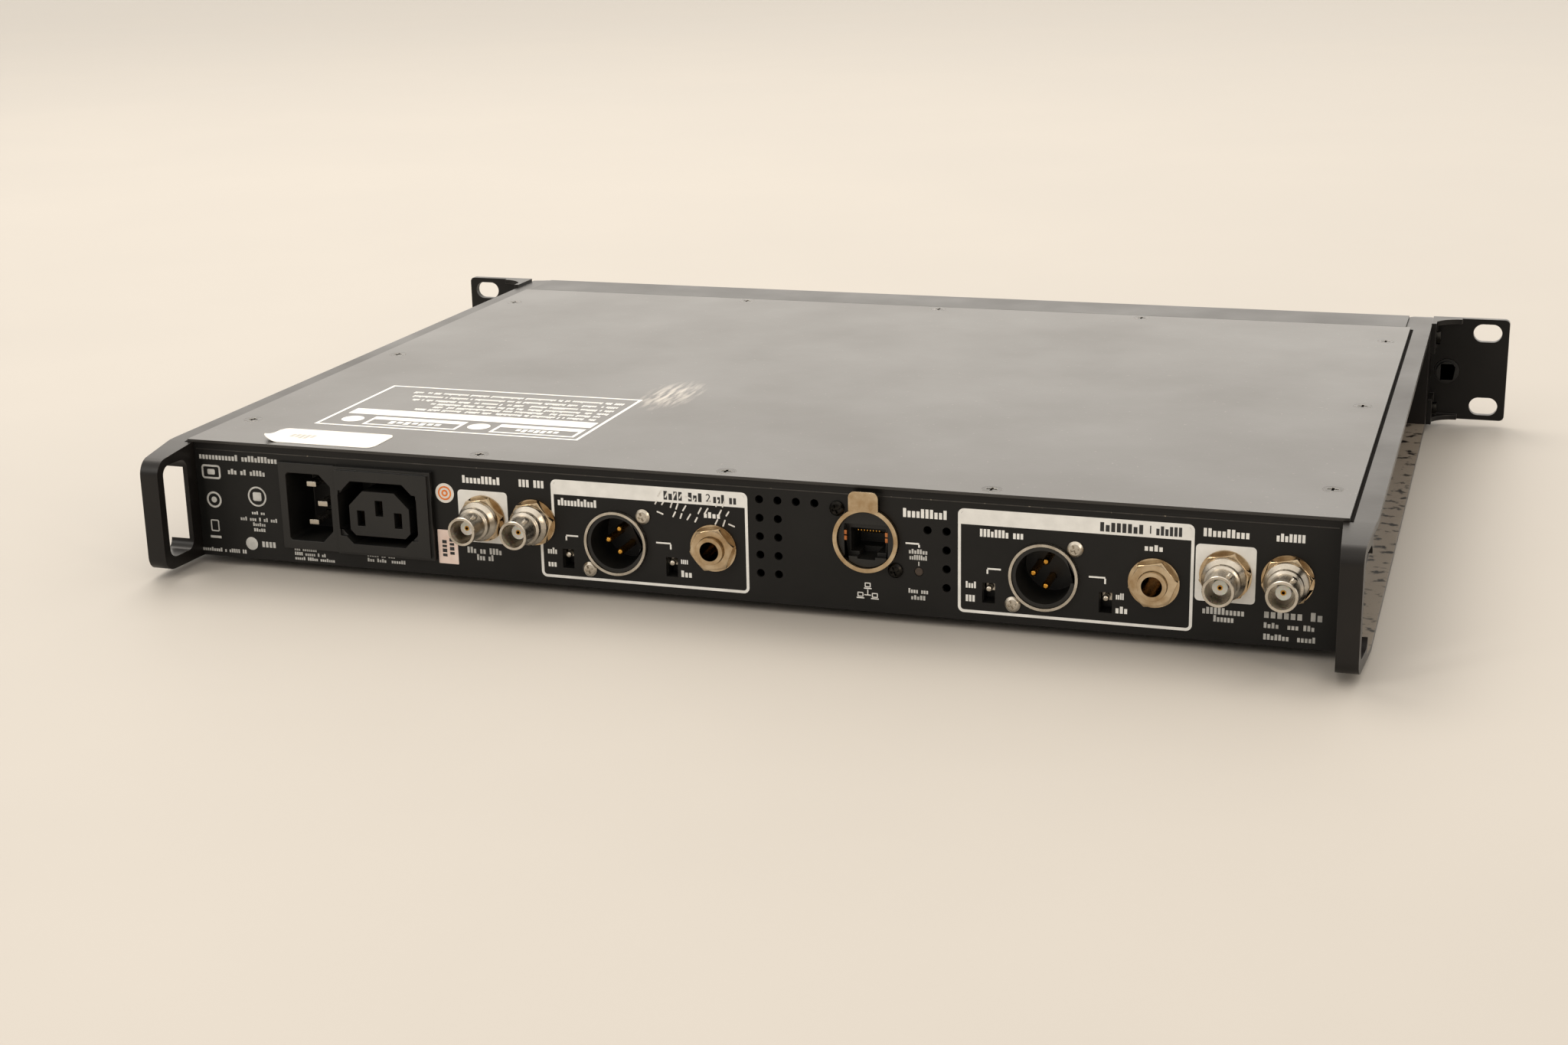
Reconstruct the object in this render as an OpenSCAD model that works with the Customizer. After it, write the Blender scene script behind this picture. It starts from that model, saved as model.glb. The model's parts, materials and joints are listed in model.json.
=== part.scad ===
// Two-channel wireless receiver in a 19 inch, one unit high rack case.
// Millimetres. +Z is up, the front faces -Y, the connectors are on the +Y side and +X is to the
// right when the front is seen. The origin is under the middle of the unit, on the surface it stands on.

/* [Case] */
// Width of the case over its side rails
case_w = 420; // [412:1:520]
// Depth over the front and rear handle loops
unit_d = 355; // [300:1:440]
// Height of the case from the underside of its rails to the top of its lid
case_h = 43.36; // [43:0.01:56]
// Height of the rubber feet under the rails
foot_h = 3; // [2:0.5:12]
// Thickness of the folded steel tray
sheet_t = 1.5; // [1:0.1:2]
// Thickness of the lid
lid_t = 1; // [0.8:0.1:1.5]
// Thickness of the rear panel
panel_t = 1.5; // [1:0.1:2]
// Height of the tray's floor above the underside of the rails
floor_lift = 0.3; // [0:0.1:1]
// Width of the flange that the lid is screwed to
flange_w = 14; // [12:1:20]
// How far the lid laps over each rail
lid_lap = 1.9; // [0.5:0.1:3]
// How far the lid stands out past the rear panel
lid_over = 0.6; // [0:0.1:2]

/* [Side rails and handle loops] */
// Width of each side rail
rail_w = 10; // [8:0.5:14]
// Thickness of the rail's upright web
web_t = 2; // [1.5:0.1:3]
// Thickness of the rail's top flange
rail_top_t = 2.4; // [1.5:0.1:3.5]
// Thickness of the rail's bottom lip
rail_lip_t = 2; // [1.5:0.1:3]
// How far the rear loops stand out past the rear panel
rear_reach = 22; // [18:1:40]
// How far the front loops stand out past the front face
front_reach = 17; // [16:1:30]
// Thickness of the loops' upright bars
bar_t = 3.4; // [2.5:0.1:5]
// Solid length of rail between a panel and its loop's opening
loop_post = 5; // [3:0.5:6]
// Fall of the loop's top towards its bar
loop_drop = 1.9; // [0:0.1:4]
// Narrowing of the loop on its outer side
loop_taper_out = 1.8; // [0:0.1:3]
// Narrowing of the loop on its inner side
loop_taper_in = 1.3; // [0:0.1:2]
// Thickness of the loop above its opening, at the bar
loop_top_t = 2.9; // [2:0.1:4]
// Thickness of the loop under its opening
loop_low_t = 4.2; // [3:0.1:5]
// Radius of the loop's outer corners
loop_r = 6; // [3:0.5:8]
// Radius of the corners of the loop's opening
loop_in_r = 3.4; // [1:0.1:4]
// Solid length of rail that the rack ear is screwed to
ear_block_d = 26; // [22:1:40]

/* [Rack ears] */
// Width of each ear beyond the case
ear_w = 31.3; // [28:0.1:60]
// Height of the ears
ear_h = 43.66; // [43:0.01:44.4]
// Thickness of the ears
ear_t = 3; // [2:0.1:4]
// How far the ears' front faces lie behind the front face
ear_setback = 2; // [0:0.5:5]
// Distance from an ear's end to the middle of its slots
slot_inset = 8.75; // [7:0.05:12]
// Distance between an ear's two slots
slot_rise = 31.75; // [31:0.01:32.5]
// End to end length of a slot
slot_l = 11.6; // [9:0.1:13]
// Width of a slot
slot_w = 7.6; // [6:0.1:8.5]
// Reach of the ear's flared gussets
gusset_r = 11; // [6:0.5:14]
// Distance of the ear's plug from the case
plug_out = 6.8; // [6.8:0.1:9]
// Radius of the ear's plug
plug_r = 5.2; // [4:0.1:5.5]

/* [Front panel] */
// Depth of the moulded front panel from its face to the lid
fascia_d = 26; // [24:1:40]
// Wall thickness of the front panel
fascia_t = 3; // [2:0.5:3]
// Distance between the two receivers' controls
rx_pitch = 170; // [168:1:175]
// Middle of the first receiver's display
display_x = -113; // [-115:1:-111]
// Width of a display's window
window_w = 58; // [40:1:62]
// Height of a display's window
window_h = 24; // [16:1:28]
// Thickness of a display's lens
lens_t = 1.5; // [1:0.1:2]
// Middle of the first receiver's control knob
knob_x = -62; // [-64:1:-60]
// Radius of a control knob
knob_r = 10; // [7:0.5:12]
// Length of a control knob
knob_l = 11.5; // [8:0.5:12]
// Height of the knobs' middle above the underside of the rails
knob_z = 21.8; // [18:0.1:25]
// Push travel of a control knob
knob_push = 0.8; // [0.4:0.1:1]
// Radius of the control knobs' shafts
shaft_r = 3; // [2:0.1:3.2]
// Middle of the first receiver's two buttons
button_x = -38; // [-40:1:-36]
// Width of a button
button_w = 10; // [6:0.5:12]
// Height of a button
button_h = 6; // [4:0.5:8]
// Distance between a receiver's two buttons
button_rise = 15; // [12:0.5:18]
// Travel of a button
button_push = 1; // [0.5:0.1:1.2]
// Middle of the headphone jack
phones_x = 148; // [146:1:150]
// Middle of the volume knob
volume_x = 168; // [166:1:170]
// Length of the headphone jack's body behind the front panel
phones_l = 30; // [26:1:34]
// Radius of the volume knob
volume_r = 6.5; // [5:0.5:8]
// Middle of the power rocker
rocker_x = 187; // [186:0.5:188]

/* [Rear connectors] */
// Distance between the two receivers' rear connectors
out_pitch = 146.6; // [145:0.1:148]
// Middle of the second receiver's microphone-level socket
xlr_x = 38.3; // [37:0.1:39]
// Height of the microphone-level sockets
xlr_z = 17.05; // [16:0.05:19]
// Outer radius of their metal ring
xlr_r = 11.2; // [10.6:0.1:11.4]
// Distance of their screws from the middle, sideways and upwards
xlr_screw = 10; // [10:0.1:11]
// Distance of the phone jack from the socket's middle
jack_dx = -35; // [-36:0.5:-33]
// Height of the phone jacks
jack_z = 18; // [16:0.5:21]
// Radius of a phone jack's bore
jack_bore_r = 3.25; // [3.2:0.01:3.4]
// Distance of the level switch from the socket's middle
level_dx = 18; // [17.5:0.1:19]
// Distance of the ground switch from the socket's middle
ground_dx = -19.8; // [-20.5:0.1:-18.5]
// Height of the slide switches
switch_z = 10; // [9.5:0.1:12]
// Travel of a slide switch
switch_travel = 2.6; // [1.5:0.1:3]
// Height of the aerial sockets
bnc_z = 22.2; // [18:0.1:26]
// Distance between a pair of aerial sockets
bnc_pitch = 19; // [18:0.1:20]
// Middle of the second receiver's aerial input
bnc_b_x = 87.4; // [86:0.1:89]
// Middle of the first receiver's aerial input
bnc_a_x = -165.4; // [-167:0.1:-164]
// Length of an aerial socket outside the panel
bnc_l = 17.5; // [15:0.5:20]
// Middle of the network socket
net_x = -49.6; // [-51:0.1:-48]
// Height of the network socket
net_z = 25; // [24:0.1:25]
// Outer radius of the network socket's ring
net_r = 11; // [10.5:0.1:11.2]
// Distance of its screws from the middle, sideways and upwards
net_screw = 9.8; // [9.8:0.1:10.4]
// Middle of the mains inlet
inlet_x = 154.35; // [153:0.05:155]
// Middle of the mains outlet
outlet_x = 126.6; // [126:0.1:127]
// Height of the middle of the mains inlet and outlet
mains_z = 21.3; // [20:0.1:22]
// Radius of a ventilation hole
vent_r = 1.4; // [0.8:0.1:1.6]
// Distance between ventilation holes
vent_pitch = 6.35; // [5:0.05:6.6]

/* [Clearances] */
// Gap between fixed parts that fit inside one another
fit_gap = 0.1; // [0.05:0.05:0.3]
// Radial gap of a shaft in its bearing
shaft_gap = 0.05; // [0.02:0.01:0.08]
// Gap round parts that slide or tilt
move_gap = 0.3; // [0.2:0.05:0.5]

/* [Hidden] */
$fn = 48;

// Main planes: heights
z0 = foot_h;                              // underside of the rails
floor_z = z0 + floor_lift;                // underside of the tray
deck_z = floor_z + sheet_t;               // top of the tray's floor
lid_z = z0 + case_h;                      // top of the lid
seat_z = lid_z - lid_t;                   // underside of the lid and top of the rails
board_z = deck_z + 6;                     // underside of the boards that lie flat
board_t = 1.6;
// Main planes: depths
face_y = -unit_d / 2 + front_reach;       // front face
ear_y = face_y + ear_setback;             // front faces of the rack ears
wall_y = face_y + fascia_d;               // front wall of the tray, and front edge of the lid
panel_y = unit_d / 2 - rear_reach;        // outer face of the rear panel
inner_y = panel_y - panel_t;              // inner face of the rear panel
front_board_y = face_y + 13;              // front of the board behind the front panel
// Main planes: widths
rail_x = case_w / 2 - rail_w;             // inner faces of the rails
web_x = rail_x + web_t;

// A box between two corners given as ranges
module block(x, y, z)
    translate([x[0], y[0], z[0]]) cube([x[1] - x[0], y[1] - y[0], z[1] - z[0]]);
// A flat shape drawn in X and Z, between two depths
module prism(y) translate([0, y[1], 0]) rotate([90, 0, 0]) linear_extrude(y[1] - y[0]) children();
// A round rod along Y
module rod(x, z, r, y) translate([x, y[0], z]) rotate([-90, 0, 0]) cylinder(r = r, h = y[1] - y[0]);
// A round rod along X
module cross_rod(x, y, z, r) translate([x[0], y, z]) rotate([0, 90, 0]) cylinder(r = r, h = x[1] - x[0]);
// A turned part whose axis runs along Y from the plane y, drawn as radius and distance
module turned(x, z, y) translate([x, y, z]) rotate([-90, 0, 0]) rotate_extrude() children();
// Points of an arc, for outlines
function arc(c, r, a0, a1, n = 7) = [for (i = [0:n]) let (a = a0 + (a1 - a0) * i / n)
    [c[0] + r * cos(a), c[1] + r * sin(a)]];
// A rectangle with cut corners: size w and h, cuts at low X, cuts at high X
module cut_rect(c, w, h, low, high) translate(c) polygon([
    [-w / 2 + low, -h / 2], [w / 2 - high, -h / 2], [w / 2, -h / 2 + high], [w / 2, h / 2 - high],
    [w / 2 - high, h / 2], [-w / 2 + low, h / 2], [-w / 2, h / 2 - low], [-w / 2, -h / 2 + low]]);
// A cross recess that is cut into a screw's head, at the origin and down along -Z
module cross_cut(w, depth) for (a = [0, 90]) rotate(a)
    translate([-w / 2, -w / 8, -depth]) cube([w, w / 4, depth + 1]);

// ---------------------------------------------------------------- case
lid_screw_r = 3.3;
lid_cone_h = 1.9;
lid_thread_r = 1.4;
side_screw_x = rail_x - 6;
mid_y = (wall_y + panel_y) / 2;
side_screw_dy = 114;
end_screw_x = 90;
// Where the lid's screws are: a row at the front, a row at the rear, and three at each side
lid_screw_at = concat([for (x = [-1:1]) for (y = [wall_y + 5, panel_y - 5]) [x * end_screw_x, y]],
    [for (s = [-1, 1]) for (i = [-1:1]) [s * side_screw_x, mid_y + i * min(side_screw_dy,
    (panel_y - wall_y) / 2 - 22)]]);
rail_screw_z = z0 + 21;
rail_screw_r = 1.7;
// Depths of the screws that hold a rail to the tray
rail_screw_y = [for (i = [0:3]) wall_y + 26 + i * (panel_y - wall_y - 52) / 3];
ribbon_w = 40;
jack_box = 14;                            // width and height of a phone jack's body
ribbon_z = z0 + 20;

// The cone and thread of a lid screw, grown by a gap
module lid_screw_body(gap) {
    translate([0, 0, lid_z - lid_cone_h]) cylinder(r1 = lid_thread_r + gap,
        r2 = lid_screw_r + gap, h = lid_cone_h + (gap > 0 ? 0.001 : 0));
    translate([0, 0, lid_z - 6]) cylinder(r = lid_thread_r + gap, h = 6 - lid_cone_h + 0.001);
}

module chassis_tray() color("#17181a") difference() {
    union() {
        block([-rail_x, rail_x], [wall_y, inner_y], [floor_z, deck_z]);
        for (s = [-rail_x, rail_x - sheet_t]) block([s, s + sheet_t], [wall_y, inner_y], [floor_z, seat_z]);
        for (s = [-rail_x, rail_x - flange_w])
            block([s, s + flange_w], [wall_y, inner_y], [seat_z - sheet_t, seat_z]);
        block([-rail_x, rail_x], [wall_y, wall_y + sheet_t], [floor_z, seat_z]);
        block([-rail_x, rail_x], [wall_y, wall_y + flange_w], [seat_z - sheet_t, seat_z]);
        block([-rail_x, rail_x], [panel_y - flange_w, panel_y], [seat_z - sheet_t, seat_z]);
    }
    for (p = lid_screw_at) translate([p[0], p[1], 0]) lid_screw_body(fit_gap);
    for (s = [-1, 1]) for (y = rail_screw_y)
        cross_rod([s * rail_x - 3, s * rail_x + 3], y, rail_screw_z, rail_screw_r + fit_gap);
    block([-ribbon_w / 2 - 4, ribbon_w / 2 + 4], [wall_y - 1, wall_y + sheet_t + 1],
        [ribbon_z - 5, ribbon_z + 5]);
    phones_hole([wall_y - 1, wall_y + sheet_t + 1]);
}
// Room for the headphone jack's body, through a wall or a board
module phones_hole(y) block([phones_x - jack_box / 2 - fit_gap, phones_x + jack_box / 2 + fit_gap], y,
    [z0 + knob_z - jack_box / 2 - fit_gap, z0 + knob_z + jack_box / 2 + fit_gap]);

module top_lid() color("#2b2a29") difference() {
    block([-rail_x - lid_lap, rail_x + lid_lap], [wall_y + 2 * fit_gap, panel_y + lid_over], [seat_z, lid_z]);
    for (p = lid_screw_at) translate([p[0], p[1], 0]) lid_screw_body(fit_gap);
}

module lid_screws() color("#101010") for (p = lid_screw_at) translate([p[0], p[1], 0]) difference() {
    lid_screw_body(0);
    translate([0, 0, lid_z]) cross_cut(3.6, 1.1);
}

// ---------------------------------------------------------------- rails
loop_top_z = seat_z - loop_drop;          // top of a loop at its bar
ear_screw_y = ear_y + ear_t + 8;
ear_screw_z = [z0 + 6, z0 + ear_h - 7];
ear_screw_r = 1.5;
// Outline of a rail in depth and height, with its two loops' outer corners
rail_outline = concat(
    arc([unit_d / 2 - 5, z0 + 5], 5, -90, 0), arc([unit_d / 2 - loop_r, loop_top_z - loop_r], loop_r, 0, 90),
    [[panel_y, seat_z], [face_y, seat_z]],
    arc([-unit_d / 2 + loop_r, loop_top_z - loop_r], loop_r, 90, 180),
    arc([-unit_d / 2 + 5, z0 + 5], 5, 180, 270));
// Opening of a loop between two depths
module loop_opening(y) let (r = loop_in_r, low = z0 + loop_low_t, high = loop_top_z - loop_top_t)
    polygon(concat(arc([y[0] + r, low + r], r, 180, 270), arc([y[1] - r, low + r], r, 270, 360),
        arc([y[1] - r, high - r], r, 0, 90), arc([y[0] + r, high - r], r, 90, 180)));
// A flat shape drawn in depth and height, between two distances from the middle
module side_prism(x) translate([x[0], 0, 0]) rotate([90, 0, 90]) linear_extrude(x[1] - x[0]) children();

module rail_shape() difference() {
    intersection() {
        side_prism([rail_x, case_w / 2]) difference() {
            polygon(rail_outline);
            loop_opening([panel_y + loop_post, unit_d / 2 - bar_t]);
            loop_opening([-unit_d / 2 + bar_t, face_y - loop_post + 1.5]);
        }
        linear_extrude(lid_z + 1) polygon([[rail_x, face_y], [rail_x + loop_taper_in, -unit_d / 2],
            [case_w / 2 - loop_taper_out, -unit_d / 2], [case_w / 2, face_y - 4], [case_w / 2, panel_y - 4],
            [case_w / 2 - loop_taper_out, unit_d / 2], [rail_x + loop_taper_in, unit_d / 2],
            [rail_x, panel_y]]);
    }
    block([web_x, case_w / 2 + 1], [face_y + ear_block_d, panel_y + loop_post],
        [z0 + rail_lip_t, seat_z - rail_top_t]);
    for (y = rail_screw_y) cross_rod([rail_x - 1, web_x + 1], y, rail_screw_z, rail_screw_r + fit_gap);
    for (z = ear_screw_z) cross_rod([case_w / 2 - 8, case_w / 2 + 1], ear_screw_y, z, ear_screw_r + fit_gap);
}
module right_rail() color("#1c1c1d") rail_shape();
module left_rail() color("#1c1c1d") mirror([1, 0, 0]) rail_shape();

// A pan-head screw along +X: its head starts at x, its thread goes in towards the middle
module side_screw(x, y, z, r, head_r, head_h, thread_l) difference() {
    union() {
        cross_rod([x, x + head_h], y, z, head_r);
        cross_rod([x - thread_l, x], y, z, r);
    }
    translate([x + head_h, y, z]) rotate([0, 90, 0]) cross_cut(head_r, head_h / 2);
}
module side_screws() color("#202020") for (s = [0, 1]) mirror([s, 0, 0]) {
    for (y = rail_screw_y) side_screw(web_x, y, rail_screw_z, rail_screw_r, 3.4, 2, web_t + 4);
    for (z = ear_screw_z)
        side_screw(case_w / 2 + 2, ear_screw_y, z, ear_screw_r, 2.8, 1.8, 2 + 7);
}

// ---------------------------------------------------------------- rack ears
ear_back_y = ear_y + ear_t;
ear_out_x = case_w / 2 + ear_w;
slot_x = ear_out_x - slot_inset;
ear_mid_z = z0 + ear_h / 2;
gusset_t = 2;
ear_tab = [2, ear_back_y + 13];           // thickness and rear edge of the tabs on the rail
plug_x = case_w / 2 + plug_out;
plug_z = z0 + 20.8;
module slot_shape() {
    square([slot_l - slot_w, slot_w], center = true);
    for (s = [-1, 1]) translate([s * (slot_l - slot_w) / 2, 0]) circle(d = slot_w);
}
// A gusset flares out of the rail's side into the ear with a hollow curve
module gusset(z) translate([case_w / 2, ear_back_y, z]) linear_extrude(gusset_t) difference() {
    square([gusset_r + 1, gusset_r + 2]);
    translate([gusset_r + 1, gusset_r + 2]) circle(r = gusset_r);
}
module ear_shape() difference() {
    union() {
        prism([ear_y, ear_back_y]) polygon(concat([[case_w / 2, z0], [case_w / 2, z0 + ear_h]],
            arc([ear_out_x - 2, z0 + ear_h - 2], 2, 90, 0), arc([ear_out_x - 2, z0 + 2], 2, 0, -90)));
        gusset(z0);
        gusset(z0 + ear_h - gusset_t);
        for (z = [[z0, z0 + 11], [z0 + ear_h - 13, z0 + ear_h]])
            block([case_w / 2, case_w / 2 + ear_tab[0]], [ear_back_y, ear_tab[1]], z);
    }
    for (s = [-1, 1]) prism([ear_y - 1, ear_back_y + 1])
        translate([slot_x, ear_mid_z + s * slot_rise / 2]) slot_shape();
    rod(plug_x, plug_z, plug_r + fit_gap, [ear_y - 1, ear_back_y + 1]);
    for (z = ear_screw_z)
        cross_rod([case_w / 2 - 1, case_w / 2 + 4], ear_screw_y, z, ear_screw_r + fit_gap);
}
module right_ear() color("#161616") ear_shape();
module left_ear() color("#161616") mirror([1, 0, 0]) ear_shape();

module ear_plugs() color("#0d0d0d") for (s = [0, 1]) mirror([s, 0, 0]) difference() {
    union() {
        rod(plug_x, plug_z, plug_r, [ear_y - 1, ear_back_y + 0.5]);
        rod(plug_x, plug_z, plug_r + 1.2, [ear_y - 1.2, ear_y]);
        rod(plug_x, plug_z, plug_r - 0.9, [ear_back_y, ear_back_y + 2.4]);
    }
    block([plug_x - 2.3, plug_x + 2.3], [ear_back_y - 2, ear_back_y + 3], [plug_z - 3.3, plug_z + 3.3]);
}

foot_r = 6.5;
module feet() color("#0b0b0b") for (sx = [-1, 1]) for (y = [wall_y + 12, panel_y - 24])
    translate([sx * (rail_x - 18), y, 0]) {
        translate([0, 0, 0.6]) cylinder(r = foot_r, h = floor_z - 0.6);
        cylinder(r1 = foot_r - 0.6, r2 = foot_r, h = 0.6);
    }

// ---------------------------------------------------------------- front
rx = [0, rx_pitch];                       // offsets of the two receivers' controls
control_z = z0 + knob_z;
fascia_x = rail_x - fit_gap;
fascia_low = floor_z;
fascia_in_y = face_y + fascia_t;
fascia_round = 2;
lens_w = window_w + 6;
lens_h = window_h + 5;
bush_r = shaft_r + shaft_gap + 0.7;
button_z = [control_z + button_rise / 2, control_z - button_rise / 2];
light_r = 1.4;
light_x = -163;
light_z = [for (i = [-2:2]) control_z + i * 6];
light_at = [for (o = rx) for (c = [0, 7]) for (z = light_z) [light_x + c + o, z]];
ir_x = -181;
ir_w = 9;
ir_h = 5;
board_screw_at = [for (x = [-188, -88, 82, 138]) for (z = [z0 + 6.5, z0 + 37]) [x, z]];
rocker_w = 11;
rocker_h = 16.4;
rocker_swing = 8;
phones_z = control_z;
jack_nose_r = 4.7;

module fascia() color("#202123") difference() {
    side_prism([-fascia_x, fascia_x]) difference() {
        polygon(concat([[wall_y, fascia_low], [wall_y, lid_z]],
            arc([face_y + fascia_round, lid_z - fascia_round], fascia_round, 90, 180),
            arc([face_y + fascia_round, fascia_low + fascia_round], fascia_round, 180, 270)));
    }
    block([-fascia_x + 2, fascia_x - 2], [fascia_in_y, wall_y + 1], [fascia_low + 2, lid_z - 2]);
    for (o = rx) {
        block([display_x + o - window_w / 2, display_x + o + window_w / 2], [face_y - 1, fascia_in_y + 1],
            [control_z - window_h / 2, control_z + window_h / 2]);
        block([display_x + o - lens_w / 2 - fit_gap, display_x + o + lens_w / 2 + fit_gap],
            [face_y - 1, face_y + lens_t],
            [control_z - lens_h / 2 - fit_gap, control_z + lens_h / 2 + fit_gap]);
        rod(knob_x + o, control_z, bush_r + fit_gap, [face_y - 1, fascia_in_y + 1]);
        for (z = button_z) block([button_x + o - button_w / 2 - move_gap, button_x + o + button_w / 2 + move_gap],
            [face_y - 1, fascia_in_y + 1], [z - button_h / 2 - move_gap, z + button_h / 2 + move_gap]);
        block([ir_x + o - ir_w / 2 - fit_gap, ir_x + o + ir_w / 2 + fit_gap], [face_y - 1, fascia_in_y + 1],
            [control_z - ir_h / 2 - fit_gap, control_z + ir_h / 2 + fit_gap]);
    }
    for (p = light_at) rod(p[0], p[1], light_r + fit_gap, [face_y - 1, fascia_in_y + 1]);
    rod(volume_x, control_z, bush_r + fit_gap, [face_y - 1, fascia_in_y + 1]);
    rod(phones_x, phones_z, jack_nose_r + fit_gap, [face_y - 1, fascia_in_y + 1]);
    block([rocker_x - rocker_w / 2 - 1.2, rocker_x + rocker_w / 2 + 1.2], [face_y - 1, fascia_in_y + 1],
        [control_z - rocker_h / 2 - 2.2, control_z + rocker_h / 2 + 2.2]);
}

module display_lenses() color("#0a0c10") for (o = rx)
    block([display_x + o - lens_w / 2, display_x + o + lens_w / 2], [face_y, face_y + lens_t],
        [control_z - lens_h / 2, control_z + lens_h / 2]);

module display_modules() color("#39424a") for (o = rx)
    block([display_x + o - window_w / 2 - 3, display_x + o + window_w / 2 + 3],
        [fascia_in_y + 1, front_board_y], [control_z - window_h / 2 - 3, control_z + window_h / 2 + 3]);

module infrared_windows() color("#2a0508") for (o = rx)
    block([ir_x + o - ir_w / 2, ir_x + o + ir_w / 2], [face_y + 0.4, fascia_in_y + 4],
        [control_z - ir_h / 2, control_z + ir_h / 2]);

net_led_at = [-67.2, z0 + 15.3];
module indicator_lights() color("#7a8a72") {
    for (p = light_at) rod(p[0], p[1], light_r, [face_y - 0.3, front_board_y]);
    rod(net_led_at[0], net_led_at[1], light_r, [inner_y - 6, panel_y]);
}

encoder_box = 12;
module spindle_body(x) difference() {
    union() {
        block([x - encoder_box / 2, x + encoder_box / 2], [front_board_y - 6, front_board_y],
            [control_z - encoder_box / 2, control_z + encoder_box / 2]);
        rod(x, control_z, bush_r, [face_y - 0.4, front_board_y - 5]);
    }
    rod(x, control_z, shaft_r + shaft_gap, [face_y - 1, front_board_y - 2.5]);
}
module encoder_bodies() color("#8d8f92") {
    for (o = rx) spindle_body(knob_x + o);
    spindle_body(volume_x);
}

module front_board() color("#1d4a2c") difference() {
    union() {
        block([-fascia_x + 5, rocker_x - 9], [front_board_y, front_board_y + board_t],
            [fascia_low + 3.5, lid_z - 3.5]);
        for (o = rx) for (z = button_z) block([button_x + o - 3, button_x + o + 3],
            [front_board_y - 6, front_board_y], [z - 3, z + 3]);
    }
    for (p = board_screw_at) rod(p[0], p[1], 1.3, [front_board_y - 1, front_board_y + 3]);
    phones_hole([front_board_y - 1, front_board_y + board_t + 1]);
}

// A phone jack: a threaded nose through a panel, and a body behind it with a blind bore.
// It points along +Y from the plane y.
module jack_shape(x, z, y, nose, body_l) difference() {
    union() {
        rod(x, z, jack_nose_r, [y - 1, y + nose]);
        block([x - jack_box / 2, x + jack_box / 2], [y - body_l, y], [z - jack_box / 2, z + jack_box / 2]);
    }
    rod(x, z, jack_bore_r, [y - body_l + 1.5, y + nose + 1]);
}
module headphone_jack() color("#1a1a1a") translate([phones_x, fascia_in_y, phones_z])
    rotate([0, 0, 180]) jack_shape(0, 0, 0, fascia_t + 3.4, phones_l);

module rocker_housing() color("#121212") difference() {
    union() {
        block([rocker_x - rocker_w / 2 - 2.2, rocker_x + rocker_w / 2 + 2.2], [face_y - 1.2, face_y],
            [control_z - rocker_h / 2 - 3.4, control_z + rocker_h / 2 + 3.4]);
        block([rocker_x - rocker_w / 2 - 1.1, rocker_x + rocker_w / 2 + 1.1], [face_y, face_y + 17],
            [control_z - rocker_h / 2 - 2.1, control_z + rocker_h / 2 + 2.1]);
    }
    block([rocker_x - rocker_w / 2 - move_gap, rocker_x + rocker_w / 2 + move_gap],
        [face_y - 2, face_y + 10],
        [control_z - rocker_h / 2 - 1, control_z + rocker_h / 2 + 1]);
    cross_rod([rocker_x - rocker_w / 2 - 0.9, rocker_x + rocker_w / 2 + 0.9], face_y + 4, control_z,
        1.2 + shaft_gap);
}
// The rocker is off at rest, and tips through twice its swing
module power_rocker() color("#0c0c0c") translate([rocker_x, face_y + 4, control_z])
    rotate([-rocker_swing, 0, 0]) union() {
        side_prism([-rocker_w / 2, rocker_w / 2]) polygon([[-5.6, rocker_h / 2], [-4, 0],
            [-5.6, -rocker_h / 2], [2.5, -4.5], [2.5, 4.5]]);
        cross_rod([-rocker_w / 2 - 0.7, rocker_w / 2 + 0.7], 0, 0, 1.2);
    }

// ---------------------------------------------------------------- knobs and buttons
knob_back_y = face_y - 1.2;
knob_front_y = knob_back_y - knob_l;
module grip_knob(x, r, l) difference() {
    union() {
        turned(x, control_z, knob_back_y) polygon(concat([[0, 0], [r, 0]],
            arc([r - 1.2, -l + 1], 1, 0, -90), [[0, -l]]));
        for (a = [0:20:340]) translate([x, 0, control_z]) rotate([0, a, 0])
            rod(r - 0.6, 0, 0.9, [knob_back_y - l + 2.2, knob_back_y - 1]);
    }
}
module turn_knob(x) difference() {
    grip_knob(x, knob_r, knob_l);
    rod(x, control_z, shaft_r + shaft_gap, [knob_front_y + 2.5, knob_back_y + 1]);
}
module control_knob_1() color("#191919") turn_knob(knob_x);
module control_knob_2() color("#191919") turn_knob(knob_x + rx_pitch);
module shaft(x) rod(x, control_z, shaft_r, [knob_front_y + 2.7, front_board_y - 3.6]);
module knob_shaft_1() color("#a9abad") shaft(knob_x);
module knob_shaft_2() color("#a9abad") shaft(knob_x + rx_pitch);
module volume_knob() color("#191919") union() {
    grip_knob(volume_x, volume_r, knob_l);
    rod(volume_x, control_z, shaft_r, [knob_back_y - 1, front_board_y - 3]);
}
module push_button(x, z) union() {
    block([x - button_w / 2, x + button_w / 2], [face_y - 1.6, fascia_in_y + 1],
        [z - button_h / 2, z + button_h / 2]);
    block([x - button_w / 2 - 1.2, x + button_w / 2 + 1.2], [fascia_in_y + move_gap, fascia_in_y + 1.3],
        [z - button_h / 2 - 1.2, z + button_h / 2 + 1.2]);
    rod(x, z, 1.5, [fascia_in_y + 1, front_board_y - 6 - button_push - move_gap]);
}
module enter_button_1() color("#55585b") push_button(button_x, button_z[0]);
module exit_button_1() color("#55585b") push_button(button_x, button_z[1]);
module enter_button_2() color("#55585b") push_button(button_x + rx_pitch, button_z[0]);
module exit_button_2() color("#55585b") push_button(button_x + rx_pitch, button_z[1]);

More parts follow.
